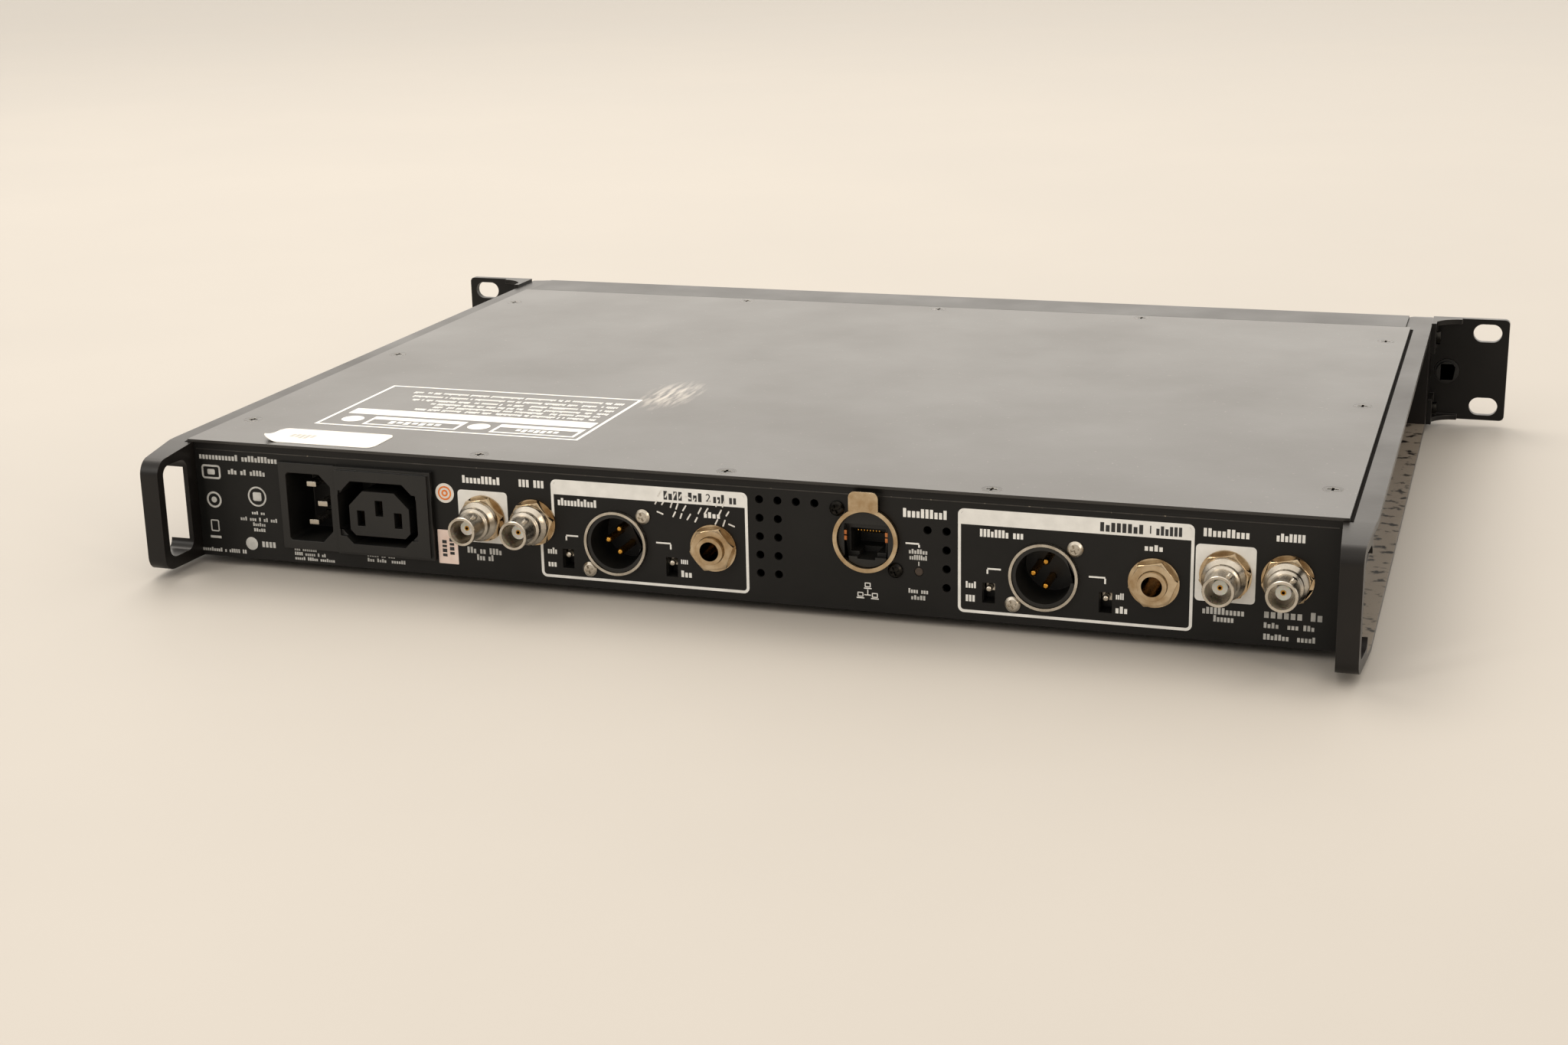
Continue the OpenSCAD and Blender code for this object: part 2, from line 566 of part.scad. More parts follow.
// ---------------------------------------------------------------- boards
main_board_x = [-rail_x + 5, 92];
supply_x = [104, rail_x - 5];
boards_y = [wall_y + 20, panel_y - 34];
board_at = [for (b = [main_board_x, supply_x]) for (x = [b[0] + 6, b[1] - 6])
    for (y = [boards_y[0] + 6, boards_y[1] - 6]) [x, y]];
module flat_board(x) difference() {
    block(x, boards_y, [board_z, board_z + board_t]);
    for (p = board_at) translate([p[0], p[1], board_z - 1]) cylinder(r = 1.6, h = board_t + 2);
}
module main_board() color("#1d4a2c") union() {
    flat_board(main_board_x);
    for (x = [-150:45:75]) block([x - 8, x + 8], [mid_y - 20, mid_y - 4], [board_z + board_t, board_z + board_t + 2]);
    block([-ribbon_w / 2 - 2, ribbon_w / 2 + 2], [boards_y[0] + 2, boards_y[0] + 9],
        [board_z + board_t, board_z + board_t + 4]);
}
can_h = 13;
module shield_cans() color("#b9bbbd") for (x = [-150, 40])
    difference() {
        block([x - 38, x + 38], [boards_y[1] - 92, boards_y[1] - 14], [board_z + board_t, board_z + board_t + can_h]);
        block([x - 37.4, x + 37.4], [boards_y[1] - 91.4, boards_y[1] - 14.6],
            [board_z + board_t - 1, board_z + board_t + can_h - 0.6]);
    }
module power_supply() color("#8a7a3a") union() {
    flat_board(supply_x);
    block([supply_x[0] + 20, supply_x[0] + 56], [mid_y - 18, mid_y + 16], [board_z + board_t, board_z + 26]);
    for (i = [0:2]) translate([supply_x[0] + 18 + i * 22, mid_y + 46, board_z + board_t])
        cylinder(r = 8, h = 23);
    block([supply_x[1] - 14, supply_x[1] - 11], [mid_y - 60, mid_y + 20], [board_z + board_t, board_z + 26]);
}
module standoffs() color("#c9a94d") for (p = board_at) translate([p[0], p[1], 0]) {
    translate([0, 0, deck_z]) cylinder(r = 2.8, h = board_z - deck_z);
    translate([0, 0, board_z]) cylinder(r = 1.4, h = board_t);
    translate([0, 0, board_z + board_t]) cylinder(r = 2.8, h = 1.8);
}
ribbon_t = 1;
module ribbon_cable() color("#9a9c9e") {
    header_z = board_z + board_t + 4;
    block([-ribbon_w / 2, ribbon_w / 2], [front_board_y + board_t, front_board_y + board_t + 5],
        [ribbon_z - 3, ribbon_z + 3]);
    block([-ribbon_w / 2, ribbon_w / 2], [front_board_y + board_t + 5, boards_y[0] + 6],
        [ribbon_z - ribbon_t / 2, ribbon_z + ribbon_t / 2]);
    block([-ribbon_w / 2, ribbon_w / 2], [boards_y[0] + 5, boards_y[0] + 6],
        [header_z, ribbon_z + ribbon_t / 2]);
}

// ---------------------------------------------------------------- rear panel
out = [0, -out_pitch];                    // offsets of the two receivers' outputs
xlr_zc = z0 + xlr_z;
jack_zc = z0 + jack_z;
switch_zc = z0 + switch_z;
bnc_zc = z0 + bnc_z;
net_zc = z0 + net_z;
mains_zc = z0 + mains_z;
xlr_screw_at = [for (o = out) for (s = [-1, 1]) [xlr_x + o + s * xlr_screw, xlr_zc - s * xlr_screw]];
net_screw_at = [for (s = [-1, 1]) [net_x + s * net_screw, net_zc + s * net_screw]];
jack_at = [for (o = out) xlr_x + o + jack_dx];
switch_x = [for (o = out) for (d = [level_dx, ground_dx]) xlr_x + o + d];
bnc_x = [bnc_b_x, bnc_b_x - bnc_pitch, bnc_a_x, bnc_a_x - bnc_pitch];
bnc_thread_r = 4.75;
switch_slot = [4.2, 6.8];
// Ventilation holes: two full columns beside the second receiver, and what fits beside the network socket
vent_top = z0 + 35.9;
vent_at = concat([for (c = [0, 1]) for (i = [0:4]) [-13 - c * vent_pitch, vent_top - i * vent_pitch]],
    [for (c = [2, 3]) [-13 - c * vent_pitch, vent_top]],
    [[-70.1, vent_top - vent_pitch]], [for (i = [1:4]) [-76.4, vent_top - i * vent_pitch]]);
// Mains inlet and outlet: cavity sizes, walls and flanges
inlet_cavity = [17.2, 24.6];
outlet_cavity = [30.4, 22.8];
mains_wall = 1.2;
mains_flange_z = [z0 + 5.7, z0 + 37.4];
split_x = 143.5;
mains_flange_x = [106, 165.8];
latch_x = [net_x - 5, net_x + 5];
latch_z = net_zc + 12.6;                  // underside of the latch's stem
latch_t = 1;

module rear_panel() color("#141416") difference() {
    block([-rail_x + fit_gap, rail_x - fit_gap], [inner_y, panel_y], [floor_z, seat_z - sheet_t]);
    for (x = bnc_x) rod(x, bnc_zc, bnc_thread_r + fit_gap, [inner_y - 1, panel_y + 1]);
    for (o = out) rod(xlr_x + o, xlr_zc, xlr_r + fit_gap, [inner_y - 1, panel_y + 1]);
    for (p = concat(xlr_screw_at, net_screw_at)) rod(p[0], p[1], 1.5, [inner_y - 1, panel_y + 1]);
    for (x = jack_at) rod(x, jack_zc, jack_nose_r + fit_gap, [inner_y - 1, panel_y + 1]);
    for (x = switch_x) block([x - switch_slot[0] / 2, x + switch_slot[0] / 2], [inner_y - 1, panel_y + 1],
        [switch_zc - switch_slot[1] / 2, switch_zc + switch_slot[1] / 2]);
    rod(net_x, net_zc, net_r + fit_gap, [inner_y - 1, panel_y + 1]);
    block([latch_x[0] + 0.5, latch_x[1] - 0.5], [inner_y - 1, panel_y + 1], [net_zc, latch_z + latch_t + 0.6]);
    for (p = vent_at) rod(p[0], p[1], vent_r, [inner_y - 1, panel_y + 1]);
    rod(net_led_at[0], net_led_at[1], light_r + fit_gap, [inner_y - 1, panel_y + 1]);
    block([outlet_x - outlet_cavity[0] / 2 - mains_wall - fit_gap, inlet_x + inlet_cavity[0] / 2 + mains_wall + fit_gap],
        [inner_y - 1, panel_y + 1],
        [mains_zc - inlet_cavity[1] / 2 - mains_wall - fit_gap, mains_zc + inlet_cavity[1] / 2 + mains_wall + fit_gap]);
}

// ---------------------------------------------------------------- mains inlet and outlet
inlet_depth = 17;
blade_w = 4;
blade_t = 2;
inlet_flange = 1.2;
// Middle of each blade: two on the far side of the cut corners, and earth between them on the near side
blade_at = [[inlet_x + 2, mains_zc + 7], [inlet_x - 2, mains_zc], [inlet_x + 2, mains_zc - 7]];
module inlet_housing() color("#151515") difference() {
    union() {
        block([split_x + fit_gap, mains_flange_x[1]], [panel_y, panel_y + inlet_flange], mains_flange_z);
        block([inlet_x - inlet_cavity[0] / 2 - mains_wall, inlet_x + inlet_cavity[0] / 2 + mains_wall],
            [panel_y - inlet_depth - 2, panel_y],
            [mains_zc - inlet_cavity[1] / 2 - mains_wall, mains_zc + inlet_cavity[1] / 2 + mains_wall]);
    }
    prism([panel_y - inlet_depth, panel_y + inlet_flange + 1])
        cut_rect([inlet_x, mains_zc], inlet_cavity[0], inlet_cavity[1], 4.2, 0.8);
    for (b = blade_at) block([b[0] - blade_w / 2, b[0] + blade_w / 2], [panel_y - 25, panel_y - 5],
        [b[1] - blade_t / 2, b[1] + blade_t / 2]);
}
module inlet_blades() color("#c9c5bb") for (b = blade_at)
    block([b[0] - blade_w / 2, b[0] + blade_w / 2], [panel_y - 24, panel_y - 4.5],
        [b[1] - blade_t / 2, b[1] + blade_t / 2]);

outlet_depth = 15.5;
outlet_flange = 3;
tongue = [23.3, 16.3];
contact_slot = [2.9, 5.6];
contact_at = [[outlet_x + 7.2, mains_zc - 2.2], [outlet_x, mains_zc + 1.8], [outlet_x - 7.2, mains_zc - 2.2]];
module outlet_housing() color("#151515") difference() {
    union() {
        prism([panel_y, panel_y + outlet_flange - 1]) polygon([[mains_flange_x[0], mains_flange_z[0]],
            [split_x, mains_flange_z[0]], [split_x, mains_flange_z[1]], [mains_flange_x[0], mains_flange_z[1]]]);
        prism([panel_y + outlet_flange - 1, panel_y + outlet_flange]) polygon([
            [mains_flange_x[0] + 1, mains_flange_z[0] + 1], [split_x - 1, mains_flange_z[0] + 1],
            [split_x - 1, mains_flange_z[1] - 1], [mains_flange_x[0] + 1, mains_flange_z[1] - 1]]);
        block([outlet_x - outlet_cavity[0] / 2 - mains_wall, outlet_x + outlet_cavity[0] / 2 + mains_wall],
            [panel_y - outlet_depth - 2, panel_y],
            [mains_zc - outlet_cavity[1] / 2 - mains_wall, mains_zc + outlet_cavity[1] / 2 + mains_wall]);
    }
    prism([panel_y - outlet_depth, panel_y + outlet_flange + 1]) difference() {
        cut_rect([outlet_x, mains_zc], outlet_cavity[0], outlet_cavity[1], 5.2, 5.2);
        translate([outlet_x, mains_zc - 0.4]) polygon([[-tongue[0] / 2 + 2, -tongue[1] / 2],
            [tongue[0] / 2 - 2, -tongue[1] / 2], [tongue[0] / 2, -tongue[1] / 2 + 2],
            [tongue[0] / 2, tongue[1] / 2 - 5.5], [tongue[0] / 2 - 5.5, tongue[1] / 2],
            [-tongue[0] / 2 + 5.5, tongue[1] / 2], [-tongue[0] / 2, tongue[1] / 2 - 5.5],
            [-tongue[0] / 2, -tongue[1] / 2 + 2]]);
    }
    // The tongue ends just behind the frame's face
    block([outlet_x - 15, outlet_x + 15], [panel_y + outlet_flange - 1.2, panel_y + outlet_flange + 1],
        [mains_zc - 8.7, mains_zc + 7.8]);
    for (c = contact_at) block([c[0] - contact_slot[0] / 2, c[0] + contact_slot[0] / 2],
        [panel_y - 14, panel_y + outlet_flange + 1], [c[1] - contact_slot[1] / 2, c[1] + contact_slot[1] / 2]);
}
module outlet_contacts() color("#b08d4a") for (c = contact_at) difference() {
    block([c[0] - contact_slot[0] / 2, c[0] + contact_slot[0] / 2], [panel_y - 14, panel_y - 2],
        [c[1] - contact_slot[1] / 2 + 0.4, c[1] + contact_slot[1] / 2 - 0.4]);
    block([c[0] - contact_slot[0] / 2 + 0.5, c[0] + contact_slot[0] / 2 - 0.5], [panel_y - 12, panel_y],
        [c[1] - contact_slot[1] / 2, c[1] + contact_slot[1] / 2]);
}

// ---------------------------------------------------------------- aerial sockets
washer_t = 0.8;
nut_t = 2.8;
bnc_barrel_r = 4.85;
bnc_cup_r = 4.05;
bnc_core_r = 2.45;
bnc_pin_r = 0.85;
module bnc_body(i) color("#b9b3a4") union() {
    turned(bnc_x[i], bnc_zc, panel_y) polygon([[bnc_core_r, -14], [bnc_thread_r, -14],
        [bnc_thread_r, -5], [7, -5], [7, -panel_t], [bnc_thread_r, -panel_t], [bnc_thread_r, 3.8],
        [6.9, 3.8], [6.9, 5.4], [5.6, 6.8], [5.6, 8.6], [bnc_barrel_r, 9.2], [bnc_barrel_r, bnc_l - 0.9],
        [bnc_barrel_r + 0.15, bnc_l - 0.5], [bnc_barrel_r, bnc_l], [bnc_cup_r, bnc_l],
        [bnc_cup_r, 7.5], [bnc_core_r, 7.5]]);
    for (s = [0, 180]) translate([bnc_x[i], panel_y + bnc_l - 4.8, bnc_zc]) rotate([0, s - 35, 0])
        translate([0, 0, bnc_barrel_r - 0.4]) cylinder(r = 0.95, h = 1.3);
}
module bnc_body_1() bnc_body(0);
module bnc_body_2() bnc_body(1);
module bnc_body_3() bnc_body(2);
module bnc_body_4() bnc_body(3);
module bnc_insulators() color("#f2efe6") for (x = bnc_x) turned(x, bnc_zc, panel_y)
    polygon([[bnc_pin_r + 0.02, -13], [bnc_core_r - 0.05, -13], [bnc_core_r - 0.05, bnc_l - 4.6],
        [bnc_pin_r + 0.02, bnc_l - 4.6]]);
module bnc_contacts() color("#c8963c") for (x = bnc_x) turned(x, bnc_zc, panel_y)
    polygon([[0, -17], [0.6, -17], [bnc_pin_r, -13], [bnc_pin_r, bnc_l - 4.4], [0.5, bnc_l - 4.4],
        [0.5, bnc_l - 12], [0, bnc_l - 12]]);

// Hexagon nut and washer on a threaded nose that points along +Y from the plane y
module nut(x, z, y, flats, bore, nut_l) {
    turned(x, z, y) polygon([[bore, 0], [8.1, 0], [8.1, washer_t], [bore, washer_t]]);
    difference() {
        intersection() {
            translate([x, y + washer_t, z]) rotate([-90, 10, 0])
                cylinder(r = flats / 2 / cos(30), h = nut_l, $fn = 6);
            turned(x, z, y + washer_t) polygon([[0, 0], [flats / 2 + 1.2, 0],
                [flats / 2 + 1.2, nut_l - 0.9], [flats / 2 - 0.3, nut_l], [0, nut_l]]);
        }
        rod(x, z, bore, [y, y + nut_l + 2]);
    }
}
module connector_nuts() color("#b3a88c") {
    for (x = bnc_x) nut(x, bnc_zc, panel_y, 14, bnc_thread_r + fit_gap, nut_t);
    for (x = jack_at) nut(x, jack_zc, panel_y, 13.6, jack_nose_r + fit_gap, nut_t);
    translate([phones_x, face_y, phones_z]) rotate([0, 0, 180]) nut(0, 0, 0, 13.6, jack_nose_r + fit_gap, nut_t - 0.4);
}
module jack_bodies() color("#8f8a7c") for (x = jack_at)
    translate([x, inner_y, jack_zc]) jack_shape(0, 0, 0, panel_t + 5, 26);

// ---------------------------------------------------------------- microphone-level sockets
xlr_cup_r = 8.9;
xlr_insert_r = 10.2;
xlr_depth = 14;
xlr_back = 20;
xlr_rim = 1.8;
xlr_flange = [24.4, 2];                   // width and thickness of the flange behind the panel
pin_r = 1.2;
pin_circle_r = 4.1;
module xlr_shells() color("#a39c8b") for (o = out) difference() {
    union() {
        rod(xlr_x + o, xlr_zc, xlr_r, [panel_y - xlr_back, panel_y + xlr_rim]);
        block([xlr_x + o - xlr_flange[0] / 2, xlr_x + o + xlr_flange[0] / 2],
            [inner_y - xlr_flange[1], inner_y], [xlr_zc - xlr_flange[0] / 2, xlr_zc + xlr_flange[0] / 2]);
    }
    rod(xlr_x + o, xlr_zc, xlr_insert_r + fit_gap, [panel_y - xlr_back - 1, panel_y + xlr_rim + 1]);
    for (p = xlr_screw_at) rod(p[0], p[1], 1.5, [inner_y - 4, inner_y + 1]);
}
module xlr_inserts() color("#0b0b0b") for (o = out) difference() {
    rod(xlr_x + o, xlr_zc, xlr_insert_r, [panel_y - xlr_back, panel_y + xlr_rim - 0.6]);
    rod(xlr_x + o, xlr_zc, xlr_cup_r, [panel_y - xlr_depth, panel_y + xlr_rim + 1]);
    block([xlr_x + o - xlr_cup_r - 1, xlr_x + o], [panel_y - xlr_depth, panel_y + xlr_rim + 1],
        [xlr_zc - 1.2, xlr_zc + 1.2]);
    for (a = [90, 0, -90]) rod(xlr_x + o + pin_circle_r * cos(a), xlr_zc + pin_circle_r * sin(a),
        pin_r, [panel_y - xlr_back - 1, panel_y]);
}
module xlr_pins() color("#c99b45") for (o = out) for (a = [90, 0, -90])
    turned(xlr_x + o + pin_circle_r * cos(a), xlr_zc + pin_circle_r * sin(a), panel_y)
        polygon([[0, -xlr_back - 4], [pin_r * 0.7, -xlr_back - 4], [pin_r, -xlr_back - 3],
            [pin_r, -3.2], [pin_r * 0.6, -2.4], [0, -2.3]]);
// A pan-head screw whose head lies on the rear panel
module panel_screw(p, head_r) difference() {
    union() {
        turned(p[0], p[1], panel_y) polygon([[0, 0], [head_r, 0], [head_r, 0.6], [head_r * 0.7, 1.3], [0, 1.5]]);
        rod(p[0], p[1], 1.4, [panel_y - 7, panel_y]);
    }
    translate([p[0], panel_y + 1.5, p[1]]) rotate([-90, 20, 0]) cross_cut(3, 0.9);
}
module xlr_screws() color("#b9b6ae") for (p = xlr_screw_at) panel_screw(p, 2.6);
module network_screws() color("#131313") for (p = net_screw_at) panel_screw(p, 2.5);

// ---------------------------------------------------------------- network socket
net_insert_r = net_r - 1.5;
net_rim = 1.8;
net_back = 24;
net_port = [11.8, 8];
net_flange = [23.8, 2];
module network_shell() color("#a08f6c") difference() {
    union() {
        rod(net_x, net_zc, net_r, [panel_y - net_back, panel_y + net_rim]);
        block([net_x - net_flange[0] / 2, net_x + net_flange[0] / 2], [inner_y - net_flange[1], inner_y],
            [net_zc - net_flange[0] / 2, net_zc + net_flange[0] / 2]);
        for (s = [-1, 1]) block([net_x + s * 5 - 1, net_x + s * 5 + 1], [panel_y - 15, panel_y - 11],
            [net_zc + 8, latch_z + 2.5]);
    }
    rod(net_x, net_zc, net_insert_r + fit_gap, [panel_y - net_back - 1, panel_y + net_rim + 1]);
    for (p = net_screw_at) rod(p[0], p[1], 1.5, [inner_y - 4, inner_y + 1]);
    block([latch_x[0] + 0.5, latch_x[1] - 0.5], [inner_y - 5, panel_y], [net_zc + net_r + 0.1, net_zc + 14]);
    cross_rod([net_x - 7, net_x + 7], panel_y - 13, latch_z + latch_t / 2, 0.9 + shaft_gap);
}
module network_insert() color("#0c0c0c") difference() {
    rod(net_x, net_zc, net_insert_r, [panel_y - net_back, panel_y + 0.4]);
    block([net_x - net_port[0] / 2, net_x + net_port[0] / 2], [panel_y - 14, panel_y + 1],
        [net_zc - 5, net_zc - 5 + net_port[1]]);
    block([net_x - 3, net_x + 3], [panel_y - 9, panel_y + 1], [net_zc - 6.8, net_zc - 4]);
    block([net_x - 7.2, net_x + 7.2], [panel_y - 2.2, panel_y + 1], [net_zc - 6, net_zc + 5]);
}
// The latch swings about the pin that is across its stem
module network_latch() color("#a98f68") union() {
    block([latch_x[0] + 1.2, latch_x[1] - 1.2], [panel_y - 13, panel_y + 3.4], [latch_z, latch_z + latch_t]);
    prism([panel_y + 2.6, panel_y + 3.6]) translate([net_x, latch_z]) polygon(concat(
        arc([3, 2.2], 2, 0, 90, 4), arc([-3, 2.2], 2, 90, 180, 4), [[-5, -2.4], [5, -2.4]]));
    cross_rod([net_x - 5.8, net_x + 5.8], panel_y - 13, latch_z + latch_t / 2, 0.9);
}

// ---------------------------------------------------------------- slide switches
lever_r = 0.95;
lever_z = switch_zc + switch_travel / 2;
module switch_housings() color("#0e0e0e") for (x = switch_x) difference() {
    block([x - 4, x + 4], [inner_y - 7, inner_y], [switch_zc - 6, switch_zc + 6]);
    block([x - 2, x + 2], [inner_y - 5, inner_y + 1], [switch_zc - 3.4, switch_zc + 3.4]);
}
module switch_lever(i) color("#b5b1a8") union() {
    block([switch_x[i] - 1.7, switch_x[i] + 1.7], [inner_y - 4.7, inner_y - 2.5], [lever_z - 1.6, lever_z + 1.6]);
    turned(switch_x[i], lever_z, inner_y) polygon(concat([[0, -2.6], [lever_r, -2.6], [lever_r, -0.2]],
        arc([0, 0.6], 1.15, -30, 90, 6)));
}
module switch_lever_1() switch_lever(0);
module switch_lever_2() switch_lever(1);
module switch_lever_3() switch_lever(2);
module switch_lever_4() switch_lever(3);

chassis_tray();
rear_panel();
top_lid();
lid_screws();
left_rail();
right_rail();
side_screws();
left_ear();
right_ear();
ear_plugs();
feet();
fascia();
display_lenses();
display_modules();
infrared_windows();
indicator_lights();
encoder_bodies();
front_board();
headphone_jack();
rocker_housing();
main_board();
shield_cans();
power_supply();
standoffs();
ribbon_cable();
inlet_housing();
inlet_blades();
outlet_housing();
outlet_contacts();
bnc_body_1();
bnc_body_2();
bnc_body_3();
bnc_body_4();
bnc_insulators();
bnc_contacts();
connector_nuts();
xlr_shells();
xlr_inserts();
xlr_pins();
xlr_screws();
jack_bodies();
network_shell();
network_insert();
network_screws();
switch_housings();
network_latch();
switch_lever_1();
switch_lever_2();
switch_lever_3();
switch_lever_4();
power_rocker();
knob_shaft_1();
knob_shaft_2();
control_knob_1();
control_knob_2();
volume_knob();
enter_button_1();
exit_button_1();
enter_button_2();
exit_button_2();
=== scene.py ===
# %% [markdown]
# # A rack-mount wireless receiver, seen from its sockets
# This notebook dresses a finished CAD model of a two-channel wireless receiver. The CAD model holds
# every part that has a size or moves. Here each part gets its finish, its softened edges, its
# printing, and the labels that were stuck on it in use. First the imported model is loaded. Everything
# is in metres, with +Z up and the sockets on the +Y side.

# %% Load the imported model
import json
import math
import random
import bmesh
import bpy
from mathutils import Matrix, Vector


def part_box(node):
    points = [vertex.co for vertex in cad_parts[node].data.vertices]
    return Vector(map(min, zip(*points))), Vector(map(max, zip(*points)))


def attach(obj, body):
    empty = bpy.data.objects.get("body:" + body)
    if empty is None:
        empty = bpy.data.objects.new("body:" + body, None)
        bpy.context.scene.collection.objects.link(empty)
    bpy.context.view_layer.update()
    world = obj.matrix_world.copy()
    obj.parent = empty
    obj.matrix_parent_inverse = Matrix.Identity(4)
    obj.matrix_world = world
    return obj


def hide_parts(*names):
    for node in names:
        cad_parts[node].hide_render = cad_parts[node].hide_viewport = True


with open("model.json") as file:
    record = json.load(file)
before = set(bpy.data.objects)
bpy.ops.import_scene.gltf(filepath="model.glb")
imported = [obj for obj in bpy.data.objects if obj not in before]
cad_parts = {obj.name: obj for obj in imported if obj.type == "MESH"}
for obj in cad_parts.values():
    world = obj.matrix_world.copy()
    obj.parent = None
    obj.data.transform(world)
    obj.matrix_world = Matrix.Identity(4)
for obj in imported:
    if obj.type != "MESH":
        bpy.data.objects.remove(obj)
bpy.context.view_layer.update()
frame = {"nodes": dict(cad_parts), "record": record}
nodes = frame["nodes"]
body_of_node = {n: b for b, held in frame["record"]["behaviour"]["bodies"].items() for n in held}
slot_of_node = {s["node"]: s["material_slot"] for s in frame["record"]["subparts"]}
bpy.ops.object.select_all(action="DESELECT")
MM = 0.001

# %% [markdown]
# The main planes of the case are read from the CAD parts, so that print and labels sit where the
# sheet metal really is. Heights on the two faces are counted from the underside of the rails.

# %% Planes of the case
PANEL_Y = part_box("rear_panel")[1][1]
LID_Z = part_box("top_lid")[1][2]
RAIL_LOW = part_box("right_rail")[0][2]
FACE_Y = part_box("fascia")[0][1]
print("panel plane", round(PANEL_Y, 4), "lid", round(LID_Z, 4), "face", round(FACE_Y, 4))

# %% [markdown]
# The camera stands behind the unit, above it and a little towards -X, so that the sockets and the
# lid show in one view. The angles turn a camera that starts out level and looking along -Y.

# %% Camera
CAMERA_AT = Vector((-0.2498, 0.8331, 0.2442))
YAW, DOWN, ROLL = 18.62, 16.56, -1.22
LENS_MM = 52.19
bpy.ops.object.camera_add(location=CAMERA_AT)
camera = bpy.context.object
camera.name = "camera"
camera.matrix_world = (
    Matrix.Translation(CAMERA_AT)
    @ Matrix.Rotation(math.radians(180 + YAW), 4, "Z")
    @ Matrix.Rotation(math.radians(90 - DOWN), 4, "X")
    @ Matrix.Rotation(math.radians(ROLL), 4, "Z")
)
camera.data.lens = LENS_MM
camera.data.sensor_width = 36
camera.data.clip_start = 0.01
bpy.context.scene.camera = camera

# %% [markdown]
# Colours are written as the hex values that a picture shows. Blender works in linear light, so one
# function turns them. A second one adds a node with its settings and links.

# %% Colour and node helpers
def rgb(code):
    """An sRGB hex colour as linear red, green, blue and alpha."""
    parts = [int(code[i:i + 2], 16) / 255 for i in (1, 3, 5)]
    return tuple(c / 12.92 if c <= 0.04045 else ((c + 0.055) / 1.055) ** 2.4 for c in parts) + (1.0,)


def add(tree, kind, values=None, **settings):
    """A node of one kind. values sets its inputs: a socket is linked, anything else is a value."""
    node = tree.nodes.new("ShaderNode" + kind)
    for name, value in settings.items():
        setattr(node, name, value)
    for name, value in (values or {}).items():
        if isinstance(value, bpy.types.NodeSocket):
            tree.links.new(value, node.inputs[name])
        else:
            node.inputs[name].default_value = value
    return node


def material(name, **shader):
    """A new material with a Principled shader. shader gives the values that are the same all over."""
    made = bpy.data.materials.new(name)
    made.use_nodes = True
    made.node_tree.nodes.clear()
    body = add(made.node_tree, "BsdfPrincipled")
    add(made.node_tree, "OutputMaterial", {"Surface": body.outputs[0]})
    for key, value in shader.items():
        body.inputs[key.replace("_", " ")].default_value = value
    return made, made.node_tree, body


def noise(tree, place, size, detail=3.0, rough=0.55):
    """Noise whose lumps are about size metres across."""
    return add(tree, "TexNoise", {"Vector": place, "Scale": 1 / size, "Detail": detail,
                                  "Roughness": rough}).outputs["Fac"]


def span(tree, value, low, high, out_low=0.0, out_high=1.0):
    """value moved from one range to another, and held inside it."""
    return add(tree, "MapRange", {"Value": value, "From Min": low, "From Max": high,
                                  "To Min": out_low, "To Max": out_high}).outputs[0]


def times(tree, first, second):
    """Two values multiplied."""
    return add(tree, "Math", {0: first, 1: second}, operation="MULTIPLY").outputs[0]


def blend_colour(tree, share, first, second):
    """A mix of two colours by share."""
    return add(tree, "Mix", {0: share, 6: first, 7: second}, data_type="RGBA").outputs[2]


def bump(tree, body, height, depth, strength=1.0):
    """Relief of the given depth in metres on the shader."""
    made = add(tree, "Bump", {"Height": height, "Distance": depth, "Strength": strength})
    tree.links.new(made.outputs[0], body.inputs["Normal"])


def feed(tree, body, **sockets):
    """Link values that change over the surface into the shader."""
    for key, value in sockets.items():
        tree.links.new(value, body.inputs[key.replace("_", " ")])

# %% [markdown]
# Most finishes here differ in the same few ways: two close colours that drift into each other, a
# gloss that drifts with them because hands and dust are uneven, and a fine relief left by the mould,
# the mill or the paint. One function builds that, and every size in it is a real one in millimetres.

# %% A finish with drifting colour, drifting gloss and a grain
def finish(name, dark, light, cloud, rough, grain, relief, drift=0.1, **shader):
    """cloud and grain are the widths of the patches and of the grain, relief its depth, in mm."""
    made, tree, body = material(name, **shader)
    place = add(tree, "TexCoord").outputs["Object"]
    patches = noise(tree, place, cloud * MM, 4)
    feed(tree, body,
         Base_Color=blend_colour(tree, span(tree, patches, 0.35, 0.65), rgb(dark), rgb(light)),
         Roughness=span(tree, patches, 0.3, 0.7, rough - drift / 2, rough + drift / 2))
    bump(tree, body, noise(tree, place, grain * MM, 2), relief * MM)
    return made

# %% [markdown]
# The case is folded steel and die-cast aluminium with a baked black powder coat. Powder flows out into
# a fine orange peel, which spreads every reflection. Seen at a low angle it still mirrors a bright
# room, so the lid looks pale grey although the paint is black. Years in a rack leave a film of dust,
# so the lid's own finish has a little sheen, some specks, and one pale rub where something slid on it.

# %% Powder coats
def spot(tree, place, centre, half):
    """1 at the centre of an ellipse, falling to 0 at its edge. Both are points in metres."""
    away = add(tree, "VectorMath", {0: place, 1: centre}, operation="SUBTRACT").outputs[0]
    share = add(tree, "VectorMath", {0: away, 1: half}, operation="DIVIDE").outputs[0]
    far = add(tree, "VectorMath", {0: share}, operation="LENGTH").outputs["Value"]
    return span(tree, far, 0, 1, 1, 0)


RUB_AT, RUB_HALF = (0.057, 0.053, LID_Z), (0.013, 0.027, 0.02)


